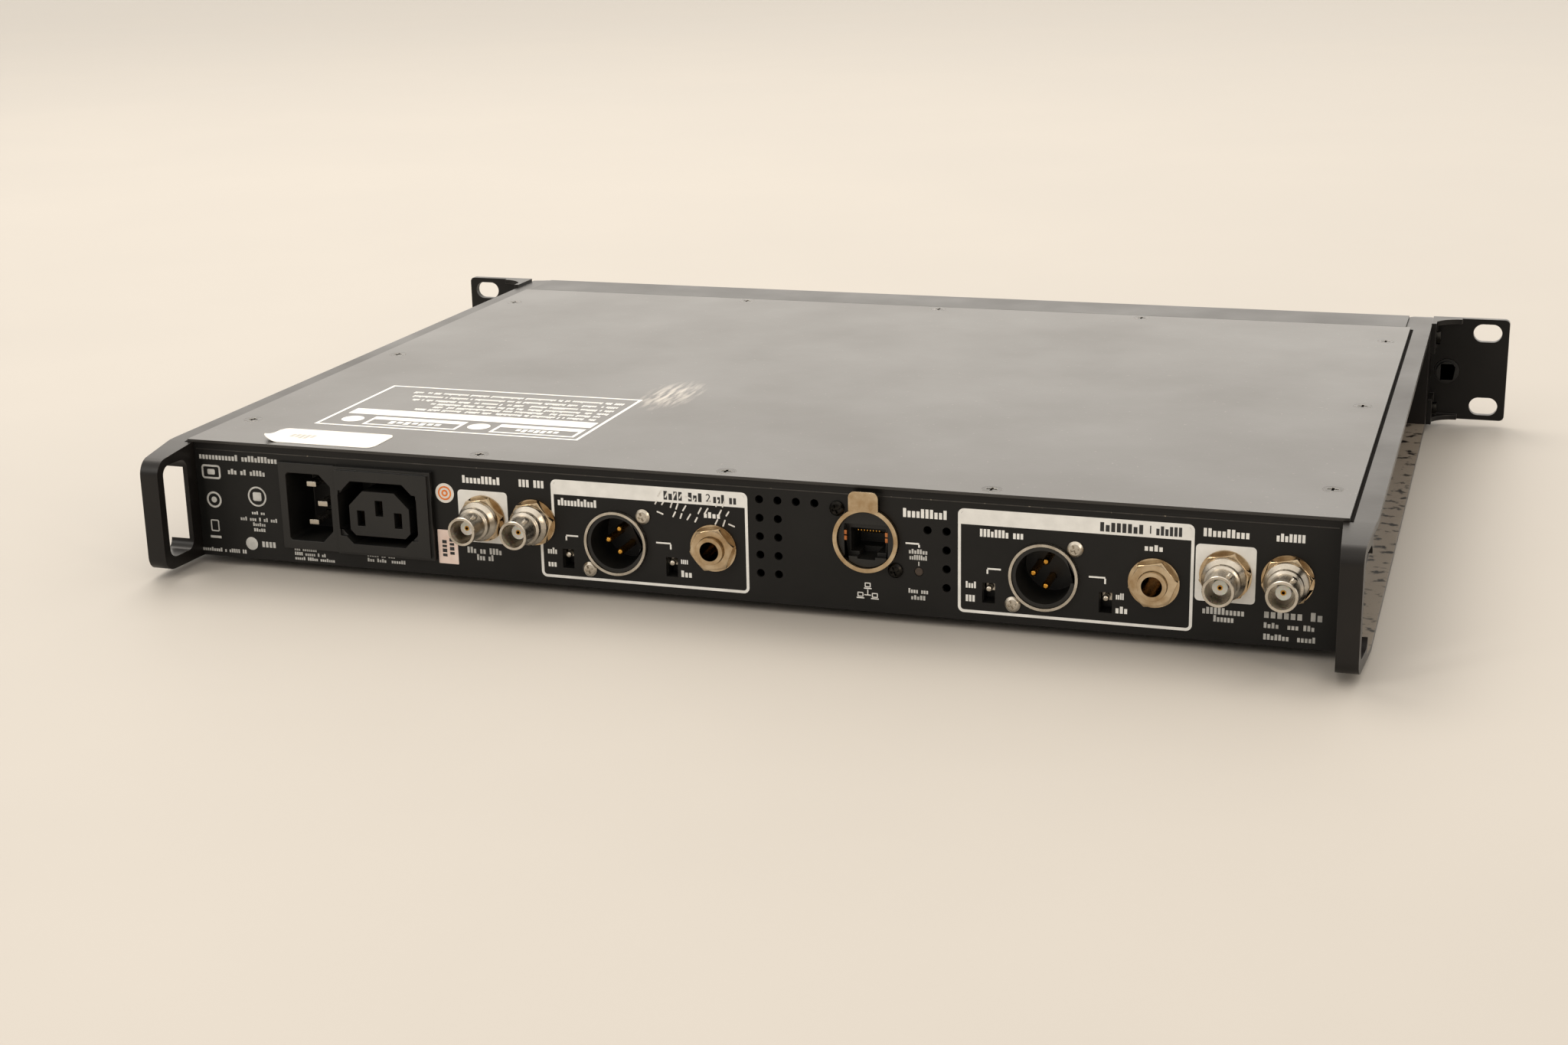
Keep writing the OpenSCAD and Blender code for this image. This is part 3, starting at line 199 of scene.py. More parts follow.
def lid_coat():
    """The lid's powder coat with dust, specks and a rub mark."""
    made, tree, body = material("powder_coat_lid", Specular_IOR_Level=0.62, Sheen_Weight=0.12,
                                Sheen_Roughness=0.45)
    place = add(tree, "TexCoord").outputs["Object"]
    clouds = noise(tree, place, 55 * MM, 5)
    streaks = noise(tree, add(tree, "Mapping", {"Vector": place, "Rotation": (0, 0, 0.5),
                                                "Scale": (1, 0.16, 1)}).outputs[0], 2.2 * MM, 4)
    specks = span(tree, noise(tree, place, 1.3 * MM, 1), 0.735, 0.79)
    rub = times(tree, spot(tree, place, RUB_AT, RUB_HALF), span(tree, streaks, 0.38, 0.62))
    paint = blend_colour(tree, span(tree, clouds, 0.3, 0.7), rgb("#1b1917"), rgb("#262320"))
    paint = blend_colour(tree, times(tree, specks, 0.35), paint, rgb("#8f877c"))
    paint = blend_colour(tree, span(tree, rub, 0.05, 0.75, 0, 0.62), paint, rgb("#d8cfc4"))
    feed(tree, body, Base_Color=paint, Roughness=span(tree, clouds, 0.3, 0.7, 0.3, 0.38))
    bump(tree, body, noise(tree, place, 0.9 * MM, 2), 0.012 * MM)
    return made


def rail_coat():
    """The rails' powder coat. The ledge at the foot of the channel is painted paler in patches, a painted
    reflection of the bright room.
    """
    made, tree, body = material("powder_coat_rail", Specular_IOR_Level=0.3)
    place = add(tree, "TexCoord").outputs["Object"]
    height = add(tree, "SeparateXYZ", {0: place}).outputs["Z"]
    upward = add(tree, "SeparateXYZ", {0: add(tree, "NewGeometry").outputs["Normal"]}).outputs["Z"]
    clouds = noise(tree, place, 40 * MM, 4)
    reflection_patches = span(tree, noise(tree, place, 5 * MM, 5), 0.55, 0.62, 0.8, 0)
    low_down = span(tree, height, RAIL_LOW + 4 * MM, RAIL_LOW + 3 * MM)
    # Painted reflection: upward faces low on the ledge are painted pale, with gaps, for the bright room they
    # mirror.
    painted_ledge_reflection = times(tree, times(tree, span(tree, upward, 0.8, 0.95), low_down), reflection_patches)
    paint = blend_colour(tree, span(tree, clouds, 0.35, 0.65), rgb("#110f0e"), rgb("#1b1816"))
    feed(tree, body, Base_Color=blend_colour(tree, painted_ledge_reflection, paint, rgb("#8f8578")),
         Roughness=span(tree, clouds, 0.3, 0.7, 0.3, 0.4))
    bump(tree, body, noise(tree, place, 0.9 * MM, 2), 0.012 * MM)
    return made


def edge_coat_with_painted_highlight():
    """The same coat on an edge, where it is thin, polished by hands and chipped to the zinc. It is also
    painted lighter all along, as a painted highlight.
    """
    made, tree, body = material("powder_coat_edge_wear_and_painted_highlight", Specular_IOR_Level=0.6)
    place = add(tree, "TexCoord").outputs["Object"]
    thin = span(tree, noise(tree, place, 6 * MM, 5), 0.45, 0.75)
    chips = span(tree, noise(tree, place, 1.6 * MM, 3), 0.66, 0.7)
    # Painted highlight: the edge paint is lighter than the coat beside it; the chips to the zinc are real
    # wear.
    paint = blend_colour(tree, thin, rgb("#1e1c1a"), rgb("#3a3631"))
    feed(tree, body, Base_Color=blend_colour(tree, chips, paint, rgb("#8c8478")),
         Metallic=times(tree, chips, 0.8), Roughness=span(tree, thin, 0, 1, 0.34, 0.24))
    bump(tree, body, chips, -0.04 * MM)
    return made


paints = {
    "lid": lid_coat(),
    "rail": rail_coat(),
    "edge": edge_coat_with_painted_highlight(),
    "case_paint": finish("powder_coat_case", "#0d0c0b", "#151312", 40, 0.36, 0.9, 0.012,
                         Specular_IOR_Level=0.28),
    "panel_paint": finish("powder_coat_panel", "#0e0e0d", "#161514", 30, 0.46, 0.6, 0.012,
                          Specular_IOR_Level=0.3),
    "fascia_paint": finish("painted_die_casting", "#1b1b1c", "#232323", 35, 0.4, 0.7, 0.01),
}
print("powder coats", len(paints))

# %% [markdown]
# The fittings are metal. Nickel plate is warm, bright and smeared by fingers. The network socket's
# ring and the phone jacks' nuts have a thinner plate over brass; their brown tint is partly that brass
# and partly a painted reflection of a warm orange surface. Contacts are gold flashed, screws are
# blackened or nickelled steel, and the covers inside are tinned sheet.

# %% Metals
METAL = dict(Metallic=1.0)
paints.update(
    nickel=finish("nickel_plate", "#b3ab9e", "#d0c9bd", 5, 0.27, 0.5, 0.002, 0.12, **METAL),
    # Partly painted reflection: the brown tint stands in part for a warm orange surface mirrored in the
    # plate.
    warm_nickel=finish("nickel_over_brass_with_painted_warm_reflection", "#a98f6c", "#d0bd9f", 6, 0.15, 0.5, 0.002, 0.1, **METAL),
    # Partly painted shade: the outlet's contacts sit deep in its slots, so this brass is painted nearly black
    # as well as aged.
    aged_brass=finish("aged_brass", "#2c2313", "#3d3220", 4, 0.4, 0.3, 0.004, **METAL),
    gold=finish("gold_flash", "#c98f35", "#e0ab52", 3, 0.24, 0.3, 0.001, **METAL),
    brass=finish("turned_brass", "#a8843f", "#c29c55", 5, 0.3, 0.3, 0.004, **METAL),
    tin_plate=finish("tinned_steel", "#8f8f8b", "#b4b3ae", 7, 0.32, 1.2, 0.004, 0.16, **METAL),
    black_steel=finish("blackened_steel", "#1a1918", "#302e2b", 2.5, 0.26, 0.4, 0.004, 0.12, **METAL),
    copper=finish("bare_copper_alloy", "#b0653a", "#cf8a58", 4, 0.3, 0.3, 0.002, **METAL),
)

# %% [markdown]
# The plastics are moulded: glass-filled nylon for the sockets, ABS for knobs and buttons, a soft
# rubber for the feet, and turned PTFE in the aerial sockets. A spark-eroded mould leaves a texture of
# a few tenths of a millimetre. The display windows are smoked acrylic, so the shader lets light in.

# %% Plastics, rubber and lenses
paints.update(
    black_plastic=finish("moulded_nylon_black", "#0d0d0c", "#171614", 14, 0.44, 0.35, 0.012),
    rubber=finish("moulded_rubber", "#0b0b0b", "#151413", 9, 0.78, 0.8, 0.03),
    knob_plastic=finish("moulded_abs_knob", "#161617", "#1f1f20", 8, 0.38, 0.3, 0.008),
    button_plastic=finish("moulded_abs_button", "#33343a", "#3d3e44", 8, 0.42, 0.3, 0.01),
    white_insulator=finish("turned_ptfe", "#f6f1e6", "#fffdf7", 3, 0.5, 0.25, 0.004,
                           Subsurface_Weight=0.3, Subsurface_Scale=0.0012),
    light_pipe=finish("tinted_polycarbonate", "#3b2f27", "#55463a", 2, 0.3, 0.2, 0.006,
                      Transmission_Weight=0.35),
    display_lens=finish("smoked_acrylic", "#0d0f12", "#121519", 30, 0.06, 4, 0.001, 0.04,
                        Transmission_Weight=0.6, IOR=1.49, Specular_IOR_Level=0.25),
    infrared_lens=finish("dark_red_acrylic", "#23060a", "#2e090e", 6, 0.1, 3, 0.001, 0.04,
                         Transmission_Weight=0.3, IOR=1.49),
)

# %% [markdown]
# The display behind each lens is a grid of dots, the boards carry tracks, and the flat cable is a row
# of wires moulded side by side. These repeat, so their patterns come from ruled textures at the real
# pitch and not from noise.

# %% Ruled finishes
def ruled(name, ground, line, pitch, share, rough, turn=(0.0, 0.0, 0.0), **shader):
    """Tiles pitch (across, along) mm apart, with joints that take up share of a tile's height."""
    made, tree, body = material(name, Roughness=rough, **shader)
    place = add(tree, "TexCoord").outputs["Object"]
    turned = add(tree, "Mapping", {"Vector": place, "Rotation": turn}).outputs[0]
    tiles = add(tree, "TexBrick", {"Vector": turned, "Color1": rgb(ground), "Color2": rgb(ground),
                                   "Mortar": rgb(line), "Scale": 1.0, "Mortar Size": share * pitch[1] * MM,
                                   "Brick Width": pitch[0] * MM, "Row Height": pitch[1] * MM})
    soil = span(tree, noise(tree, place, 9 * MM, 3), 0.3, 0.7, 0, 0.25)
    feed(tree, body, Base_Color=blend_colour(tree, soil, tiles.outputs["Color"], rgb("#0c0c0b")))
    bump(tree, body, tiles.outputs["Fac"], 0.03 * MM)
    return made


paints.update(
    display_glass=ruled("dot_matrix_display", "#2b3a3c", "#10181a", (0.6, 0.6), 0.2, 0.2,
                        (math.pi / 2, 0, 0)),
    board_green=ruled("solder_mask_green", "#17492c", "#2c6b45", (11, 2.54), 0.14, 0.3),
    supply_board=ruled("phenolic_board", "#8a6a3a", "#a3824d", (17, 5.08), 0.12, 0.45),
    ribbon_grey=ruled("ribbon_cable_pvc", "#8d8f92", "#5d5f62", (400, 1.27), 0.2, 0.5,
                      (0, 0, math.pi / 2)),
)
print("finishes", len(paints))

# %% [markdown]
# No real edge is perfectly sharp, and it is the thin highlight along an edge that makes metal and
# plastic look solid. A CAD node's mesh is loose triangles, so a copy is merged first, its flat faces
# are joined again, and a Bevel modifier then rounds each edge by its real radius. The faces that the
# bevel makes can take a second material. It shows worn paint on the rails, ears and front panel, which
# is also painted lighter as a painted highlight, and bright metal on the rims of the lid screws.

# %% Softened copies of the CAD parts
def only(piece):
    """Make one object the only one selected."""
    bpy.ops.object.select_all(action="DESELECT")
    piece.select_set(True)
    bpy.context.view_layer.objects.active = piece


def apply_modifiers(piece):
    """Apply every modifier of a piece, from the top."""
    only(piece)
    for name in [m.name for m in piece.modifiers]:
        bpy.ops.object.modifier_apply(modifier=name)


WELD = 0.002                        # points closer than this become one, in mm
FLAT, ROUNDED, SMOOTH = 0.5, 32, 34   # angles in degrees: faces joined, edges bevelled, shaded smooth


def softened(node, radius, segments, main, edge=None):
    """A copy of a CAD node with rounded edges that stands in its place and moves with its body."""
    piece = bpy.data.objects.new(node + "_softened", nodes[node].data.copy())
    bpy.context.collection.objects.link(piece)
    piece.data.materials.clear()
    for paint in [main, edge or main]:
        piece.data.materials.append(paint)
    only(piece)
    bpy.ops.mesh.customdata_custom_splitnormals_clear()
    bpy.ops.object.mode_set(mode="EDIT")
    bpy.ops.mesh.select_all(action="SELECT")
    bpy.ops.mesh.remove_doubles(threshold=WELD * MM)
    bpy.ops.mesh.dissolve_limited(angle_limit=math.radians(FLAT))
    bpy.ops.object.mode_set(mode="OBJECT")
    bevel = piece.modifiers.new("rounded_edges", "BEVEL")
    bevel.width = radius * MM
    bevel.segments = segments
    bevel.limit_method = "ANGLE"
    bevel.angle_limit = math.radians(ROUNDED)
    bevel.material = 1
    apply_modifiers(piece)
    bpy.ops.object.shade_smooth_by_angle(angle=math.radians(SMOOTH))
    flat = piece.modifiers.new("flat_faces_stay_flat", "WEIGHTED_NORMAL")
    flat.keep_sharp = True
    flat.weight = 100
    apply_modifiers(piece)
    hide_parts(node)
    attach(piece, body_of_node[node])
    return piece


edge_radius = {
    "left_rail": 0.8, "right_rail": 0.8, "left_ear": 0.35, "right_ear": 0.35, "ear_plugs": 0.3,
    "top_lid": 0.3, "fascia": 0.4, "rear_panel": 0.15, "inlet_housing": 0.4, "outlet_housing": 0.4,
    "display_lenses": 0.3, "infrared_windows": 0.3, "rocker_housing": 0.4, "power_rocker": 0.5,
    "control_knob_1": 0.35, "control_knob_2": 0.35, "volume_knob": 0.3, "enter_button_1": 0.5,
    "enter_button_2": 0.5, "exit_button_1": 0.5, "exit_button_2": 0.5, "feet": 0.4,
    "headphone_jack": 0.2, "jack_bodies": 0.25, "connector_nuts": 0.3, "xlr_shells": 0.2,
    "xlr_inserts": 0.15, "xlr_pins": 0.35, "xlr_screws": 0.15, "network_shell": 0.25,
    "network_insert": 0.15, "network_latch": 0.3, "network_screws": 0.15, "lid_screws": 0.12,
    "side_screws": 0.12, "inlet_blades": 0.4, "bnc_body_1": 0.15, "bnc_body_2": 0.15,
    "bnc_body_3": 0.15, "bnc_body_4": 0.15, "bnc_contacts": 0.12, "indicator_lights": 0.3,
    "switch_lever_1": 0.2, "switch_lever_2": 0.2, "switch_lever_3": 0.2, "switch_lever_4": 0.2,
}
edge_paint = {"left_rail": "edge", "right_rail": "edge", "left_ear": "edge", "right_ear": "edge",
              "fascia": "edge", "lid_screws": "nickel"}
own_paint = {"top_lid": "lid", "left_rail": "rail", "right_rail": "rail"}
soft_pieces = {}
for node, radius in edge_radius.items():
    main = paints[own_paint.get(node, slot_of_node[node])]
    soft_pieces[node] = softened(node, radius, 3 if radius > 0.6 else 2, main,
                                 paints[edge_paint[node]] if node in edge_paint else None)
print("softened", len(soft_pieces), "faces", sum(len(p.data.polygons) for p in soft_pieces.values()))

# %% [markdown]
# The parts that stay as the CAD made them are inside the case or too small for an edge to show. They
# only get their finish.

# %% Finishes of the parts that stay
for node, part in nodes.items():
    if node not in soft_pieces:
        part.data.materials.clear()
        # The outlet's contacts get the nearly black brass: partly age, partly painted shade for their depth
        # in the slots.
        part.data.materials.append(paints["aged_brass" if node == "outlet_contacts" else slot_of_node[node]])
bpy.ops.object.select_all(action="DESELECT")
print("kept as made", len(nodes) - len(soft_pieces))

# %% [markdown]
# The legends are screen printed: a stencilled film of ink a few hundredths of a millimetre thick. It
# could be painted in a texture, but real film has an edge that catches light, so it is modelled. Each
# patch starts as a plane, gets its corners rounded by a vertex bevel, and becomes an outline when the
# face left by an inset is deleted. A Solidify modifier then gives the whole layer its thickness.

# %% Patches of print
FACES = {   # where a point of a face is, and the turn that makes a plane face the reader
    "panel": (lambda a, b: Vector((a * MM, PANEL_Y, RAIL_LOW + b * MM)), (math.pi / 2, 0, math.pi)),
    "lid": (lambda a, b: Vector((a * MM, b * MM, LID_Z)), (0, 0, 0)),
    "front": (lambda a, b: Vector((a * MM, FACE_Y, RAIL_LOW + b * MM)), (math.pi / 2, 0, 0)),
}
FILM = 0.05      # thickness of a printed film in mm
PAPER = 0.12     # thickness of a paper label in mm


def settle(piece):
    """Put a piece's place, turn and scale into its mesh."""
    only(piece)
    bpy.ops.object.transform_apply(location=True, rotation=True, scale=True)
    return piece


def patch(face, x_range, z_range, corner=0.0, line=None, round_top=False):
    """A flat patch between two corners of a face, in mm. With a line it is an outline that wide."""
    where, turn = FACES[face]
    wide, high = abs(x_range[1] - x_range[0]), abs(z_range[1] - z_range[0])
    bpy.ops.mesh.primitive_plane_add(size=MM)
    piece = bpy.context.object
    piece.scale = (wide, high, 1)
    settle(piece)
    bpy.ops.object.mode_set(mode="EDIT")
    if corner:
        bpy.ops.mesh.select_all(action="DESELECT")
        bpy.ops.object.mode_set(mode="OBJECT")
        for v in piece.data.vertices:
            v.select = v.co.y > 0 or not round_top
        bpy.ops.object.mode_set(mode="EDIT")
        bpy.ops.mesh.bevel(offset=corner * MM, segments=6, affect="VERTICES")
        bpy.ops.mesh.select_all(action="SELECT")
    if line:
        bpy.ops.mesh.inset(thickness=line * MM)
        bpy.ops.mesh.delete(type="FACE")
    bpy.ops.object.mode_set(mode="OBJECT")
    piece.location = where(sum(x_range) / 2, sum(z_range) / 2)
    piece.rotation_euler = turn
    return settle(piece)


def disc(face, centre, radius, line=None):
    """A round patch, or a ring with a line."""
    where, turn = FACES[face]
    bpy.ops.mesh.primitive_circle_add(vertices=36, radius=radius * MM, fill_type="NGON",
                                      location=where(*centre), rotation=turn)
    if line:
        bpy.ops.object.mode_set(mode="EDIT")
        bpy.ops.mesh.select_all(action="SELECT")
        bpy.ops.mesh.inset(thickness=line * MM)
        bpy.ops.mesh.delete(type="FACE")
        bpy.ops.object.mode_set(mode="OBJECT")
    return settle(bpy.context.object)


def layer(name, patches, paint, lift=0.0, thick=FILM, body="unit"):
    """Join patches into one film that lies lift above its face and rides on a body."""
    bpy.ops.object.select_all(action="DESELECT")
    for p in patches:
        p.select_set(True)
    bpy.context.view_layer.objects.active = patches[0]
    if len(patches) > 1:
        bpy.ops.object.join()
    piece = bpy.context.object
    piece.name = name
    out = piece.data.polygons[0].normal.copy()
    piece.data.transform(Matrix.Translation(out * lift * MM))
    solid = piece.modifiers.new("film", "SOLIDIFY")
    solid.thickness = thick * MM
    solid.offset = 1
    apply_modifiers(piece)
    piece.data.materials.clear()
    piece.data.materials.append(paint)
    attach(piece, body)
    return piece

# %% [markdown]
# The real legends are words. Here each is a line of small blocks, one for each letter, so the panel
# keeps the rhythm of its printing and says nothing. A grid gives a face for every letter and gap, the
# gaps are deleted, and some tops are raised like the tall strokes of letters. Only channel numbers
# are drawn as figures.

# %% Stand-in lettering
dice = random.Random(7)


def words(face, x_range, z_range, letters):
    """A line of letter blocks that fills a strip of a face, with a few gaps between words."""
    where, turn = FACES[face]
    wide, high = abs(x_range[1] - x_range[0]) * MM, abs(z_range[1] - z_range[0]) * MM
    pitch = wide / letters
    gaps = {i for i in range(3, letters - 2) if dice.random() < 0.17}
    tall = {i for i in range(letters) if dice.random() < 0.4}
    bpy.ops.mesh.primitive_grid_add(x_subdivisions=2 * letters, y_subdivisions=1, size=1)
    piece = bpy.context.object
    for v in piece.data.vertices:
        column = round((v.co.x + 0.5) * 2 * letters)
        letter, end = divmod(column, 2)
        v.co.x = letter * pitch + (0.7 * pitch if end else 0) - wide / 2
        top = high / 2 if letter in tall else 0.22 * high
        v.co.y = top if v.co.y > 0 else -high / 2
    bpy.ops.object.mode_set(mode="EDIT")
    shape = bmesh.from_edit_mesh(piece.data)
    for f in shape.faces:
        letter, gap = divmod(f.index, 2)
        f.select_set(gap == 1 or letter in gaps)
    bmesh.update_edit_mesh(piece.data)
    bpy.ops.mesh.delete(type="FACE")
    bpy.ops.object.mode_set(mode="OBJECT")
    piece.location = where(sum(x_range) / 2, sum(z_range) / 2)
    piece.rotation_euler = turn
    return settle(piece)


def figure(face, text, centre, height):
    """A number as a flat mesh."""
    where, turn = FACES[face]
    bpy.ops.object.text_add()
    piece = bpy.context.object
    piece.data.body = text
    piece.data.size = height * MM * 1.4
    piece.data.align_x, piece.data.align_y = "CENTER", "CENTER"
    bpy.ops.object.convert(target="MESH")
    piece = bpy.context.object
    piece.location = where(*centre)
    piece.rotation_euler = turn
    return settle(piece)

# %% [markdown]
# Ink and paper: white screen ink is slightly grey and a little rubbed, black ink is printed over it,
# and the labels are coated paper that has picked up dirt.

# %% Inks and papers
paints.update(
    white_ink=finish("screen_ink_white", "#e3e3e0", "#efefec", 5, 0.5, 0.4, 0.004),
    soft_ink=finish("screen_ink_small_print", "#a9a9a6", "#cbcbc8", 5, 0.5, 0.4, 0.004),
    dark_ink=finish("screen_ink_black", "#1d1d1e", "#2c2c2d", 4, 0.5, 0.4, 0.004),
    label_paper=finish("coated_paper_label", "#dedad3", "#eae7e1", 12, 0.55, 0.5, 0.006),
    pink_paper=finish("thermal_paper_label", "#ecd3c6", "#f6e2d8", 7, 0.55, 0.5, 0.006),
    label_grey_ink=finish("faded_pen_ink", "#a5a29c", "#bbb8b2", 4, 0.5, 0.4, 0.003),
    # Painted shadow: a near-black strip with almost no gloss, for the shade beside the lid's edge.
    joint_dirt=finish("packed_joint_dirt", "#0a0908", "#14110f", 6, 0.9, 0.6, 0.02,
                      Specular_IOR_Level=0.05),
    orange_ink=finish("label_ink_orange", "#dd6f1c", "#ee8a33", 3, 0.5, 0.4, 0.003),
    residue=finish("label_adhesive_residue", "#c9c7c2", "#efeeea", 2, 0.6, 0.3, 0.01),
)

# %% [markdown]
# Each receiver's outputs sit in a printed frame with a solid band across its top. The second
# receiver's frame steps in at one side to pass the aerial socket. That outline is a plane with one
# side pulled out below a cut, so it is bisected, extruded and made one face again before the inset.

# %% Output frames
PITCH = 146.6                       # from the second receiver's sockets to the first's, in mm
FRAME_X, FRAME_Z = (-8.9, 66.4), (2.9, 37.8)
STEP_X, STEP_Z = 61.6, 22.0
LINE = 0.95


def stepped_frame():
    """The outline that steps in beside the aerial socket."""
    piece = patch("panel", (FRAME_X[0], STEP_X), FRAME_Z)
    only(piece)
    bpy.ops.object.mode_set(mode="EDIT")
    bpy.ops.mesh.select_all(action="SELECT")
    bpy.ops.mesh.bisect(plane_co=FACES["panel"][0](0, STEP_Z), plane_no=(0, 0, 1))
    bpy.ops.mesh.select_mode(type="EDGE")
    shape = bmesh.from_edit_mesh(piece.data)
    side, cut = STEP_X * MM - 1e-5, FACES["panel"][0](0, STEP_Z).z + 1e-5
    for e in shape.edges:
        e.select_set(all(v.co.x > side and v.co.z < cut for v in e.verts))
    bmesh.update_edit_mesh(piece.data)
    bpy.ops.mesh.extrude_region_move(
        TRANSFORM_OT_translate={"value": ((FRAME_X[1] - STEP_X) * MM, 0, 0)})
    bpy.ops.mesh.select_all(action="SELECT")
    bpy.ops.mesh.dissolve_limited(angle_limit=math.radians(1))
    bpy.ops.mesh.select_all(action="SELECT")
    bpy.ops.mesh.bevel(offset=2 * MM, segments=6, affect="VERTICES")
    bpy.ops.mesh.select_all(action="SELECT")
    bpy.ops.mesh.inset(thickness=LINE * MM)
    bpy.ops.mesh.delete(type="FACE")
    bpy.ops.object.mode_set(mode="OBJECT")
    return piece


def band(x_range):
    """The solid band under the top line of a frame."""
    inside = (x_range[0] + LINE, x_range[1] - LINE)
    return patch("panel", inside, (32.6, FRAME_Z[1] - LINE), 1.2, round_top=True)


first_x = (FRAME_X[0] - PITCH, FRAME_X[1] - PITCH)
layer("output_frame_2", [stepped_frame(), band((FRAME_X[0], STEP_X))], paints["white_ink"])
layer("output_frame_1", [patch("panel", first_x, FRAME_Z, 2, LINE), band(first_x)],
      paints["white_ink"])
HEADER_Z = (33.5, 36.5)
headers = []
for x, number in ((-5.4, "2"), (-5.4 - PITCH, "1")):
    headers.append(words("panel", (x + 12, x + 26), HEADER_Z, 8))
    headers.append(figure("panel", number, (x + 10.2, sum(HEADER_Z) / 2), 2.7))
    headers.append(words("panel", (x, x + 8.4), HEADER_Z, 6))
layer("frame_headers", headers, paints["dark_ink"], lift=FILM)
print("frames and", len(headers), "header marks")

# %% [markdown]
# Beside every socket is its legend. Those that both receivers have are placed from the middle of
# their microphone socket, and the aerial sockets' legends from the middle of each socket. Small
# bracket lines tie the slide switches and the network light to their words.

# %% Legends of both receivers
XLR_2 = 38.3


def bracket(corner, reach, drop):
    """Two lines that meet at a corner: one runs reach sideways and the other drops."""
    x, z = corner
    return [patch("panel", tuple(sorted((x, x + reach))), (z - 0.55, z)),
            patch("panel", (x - 0.28, x + 0.28), (z - drop, z - 0.55))]


legends, small_print = [], []
for middle in (XLR_2, XLR_2 - PITCH):
    for left, right, low, high, letters in (
            (20.9, 6.5, 28.8, 31.4, 12),          # over the socket
            (-31.8, -37.9, 28.2, 30.2, 4),        # over the phone jack
            (25.5, 21.9, 11.3, 13.5, 4), (25.5, 22.2, 6.7, 8.9, 3),        # level switch
            (-23.1, -25.8, 11.4, 13.5, 4), (-23.1, -27.2, 6.8, 9.1, 3)):   # ground switch
        legends.append(words("panel", (middle + right, middle + left), (low, high), letters))
    legends += bracket((middle + 18.4, 18.5), -4.4, 2.0)
    legends += bracket((middle - 19.6, 18.5), 5.2, 2.3)
for middle, output_x in ((87.4, (63.8, 73.4)), (-165.4, (-189.4, -180.4))):
    legends.append(words("panel", (middle - 7.2, middle + 7.2), (34.3, 37.0), 10))
    legends.append(words("panel", output_x, (34.3, 36.9), 7))
    small_print.append(words("panel", (middle - 6.4, middle + 6.8), (9.2, 11.4), 11))
    small_print.append(words("panel", (middle - 3.2, middle + 3.3), (6.8, 8.9), 6))
print("legends", len(legends))

# %% [markdown]
# The network socket has its words, a bracket to its light, and a picture of three linked boxes. The
# mains end carries small print and approval marks. Those marks belong to their owners, so plain
# shapes of the same size take their places.

# %% Network and mains legends
legends.append(words("panel", (-76.9, -62.0), (33.5, 36.5), 10))
legends += bracket((-67.3, 25.0), 4.5, 1.5)
NET_WORDS_X = -67.1
for low, high, wide, letters in ((21.3, 22.9, 6.4, 7), (19.3, 20.9, 6.0, 8),
                                 (7.9, 9.5, 6.8, 8), (5.7, 7.2, 5.0, 5)):
    small_print.append(words("panel", (NET_WORDS_X - wide / 2, NET_WORDS_X + wide / 2), (low, high), letters))
small_print.append(patch("panel", (-67.4, -67.0), (17.3, 18.7)))
for x, z in ((-49.9, 8.6), (-47.4, 5.2), (-52.3, 5.2)):
    legends.append(patch("panel", (x - 1.0, x + 1.0), (z, z + 1.6), 0.2, 0.3))
    legends.append(patch("panel", (x - 1.3, x + 1.3), (z - 0.55, z - 0.2)))
legends.append(patch("panel", (-51.0, -48.7), (5.8, 6.1)))
legends.append(patch("panel", (-50.05, -49.75), (6.1, 7.8)))

MARK_X, INLET_END_X, OUTLET_END_X, MAKER_END_X = 175.8, 162.4, 133.4, -177.6
small_print.append(words("panel", (166.3, 198.0), (36.2, 38.4), 24))
small_print.append(words("panel", (171.6, 186.8), (31.2, 33.2), 12))
for wide, low, high, letters in ((5.4, 16.9, 18.1, 6), (15.0, 14.4, 15.8, 16),
                                 (5.2, 12.6, 13.9, 6), (4.8, 10.6, 11.8, 5)):
    small_print.append(words("panel", (MARK_X - wide / 2, MARK_X + wide / 2), (low, high), letters))
small_print.append(words("panel", (169.6, 175.4), (4.9, 7.0), 4))
small_print.append(words("panel", (181.9, 200.0), (1.9, 3.3), 20))
for wide, low in ((9.0, 4.7), (12.5, 3.0), (16.0, 1.3)):
    small_print.append(words("panel", (INLET_END_X - wide, INLET_END_X), (low, low + 1.2), round(wide * 1.2)))
for wide, low in ((11.0, 4.7), (15.0, 2.9)):
    small_print.append(words("panel", (OUTLET_END_X - wide, OUTLET_END_X), (low, low + 1.3),
                             round(wide * 1.1)))
for wide, low, high, letters in ((18.2, 9.4, 12.2, 9), (15.7, 6.1, 7.9, 13), (16.1, 2.3, 4.2, 14)):
    small_print.append(words("panel", (MAKER_END_X - wide, MAKER_END_X), (low, high), letters))
marks = [
    patch("panel", (189.9, 197.5), (29.0, 34.2), 1.2, 0.7), patch("panel", (192.2, 195.2), (30.6, 32.6), 0.5),
    disc("panel", (193.5, 21.3), 3.0, 0.7), disc("panel", (193.5, 21.3), 1.1),
    disc("panel", (MARK_X, 23.6), 3.7, 0.6), patch("panel", (MARK_X - 1.7, MARK_X + 1.7), (22.0, 25.2), 0.6),
    patch("panel", (192.4, 195.8), (9.4, 13.8), 0.6, 0.45), patch("panel", (192.0, 196.4), (6.9, 7.8)),
    disc("panel", (179.6, 5.9), 2.4),
]
layer("panel_legends", legends, paints["white_ink"])
layer("panel_small_print", small_print, paints["soft_ink"])
layer("panel_marks", marks, paints["soft_ink"])
print("small print", len(small_print), "marks", len(marks))

# %% [markdown]
# The lid has a boxed notice printed near the mains end. It reads from the front, so it is upside
# down from behind. Its lines keep their places: two small boxes nearest the sockets, a solid strip,
# and a block of fine lines that are ragged at one side.

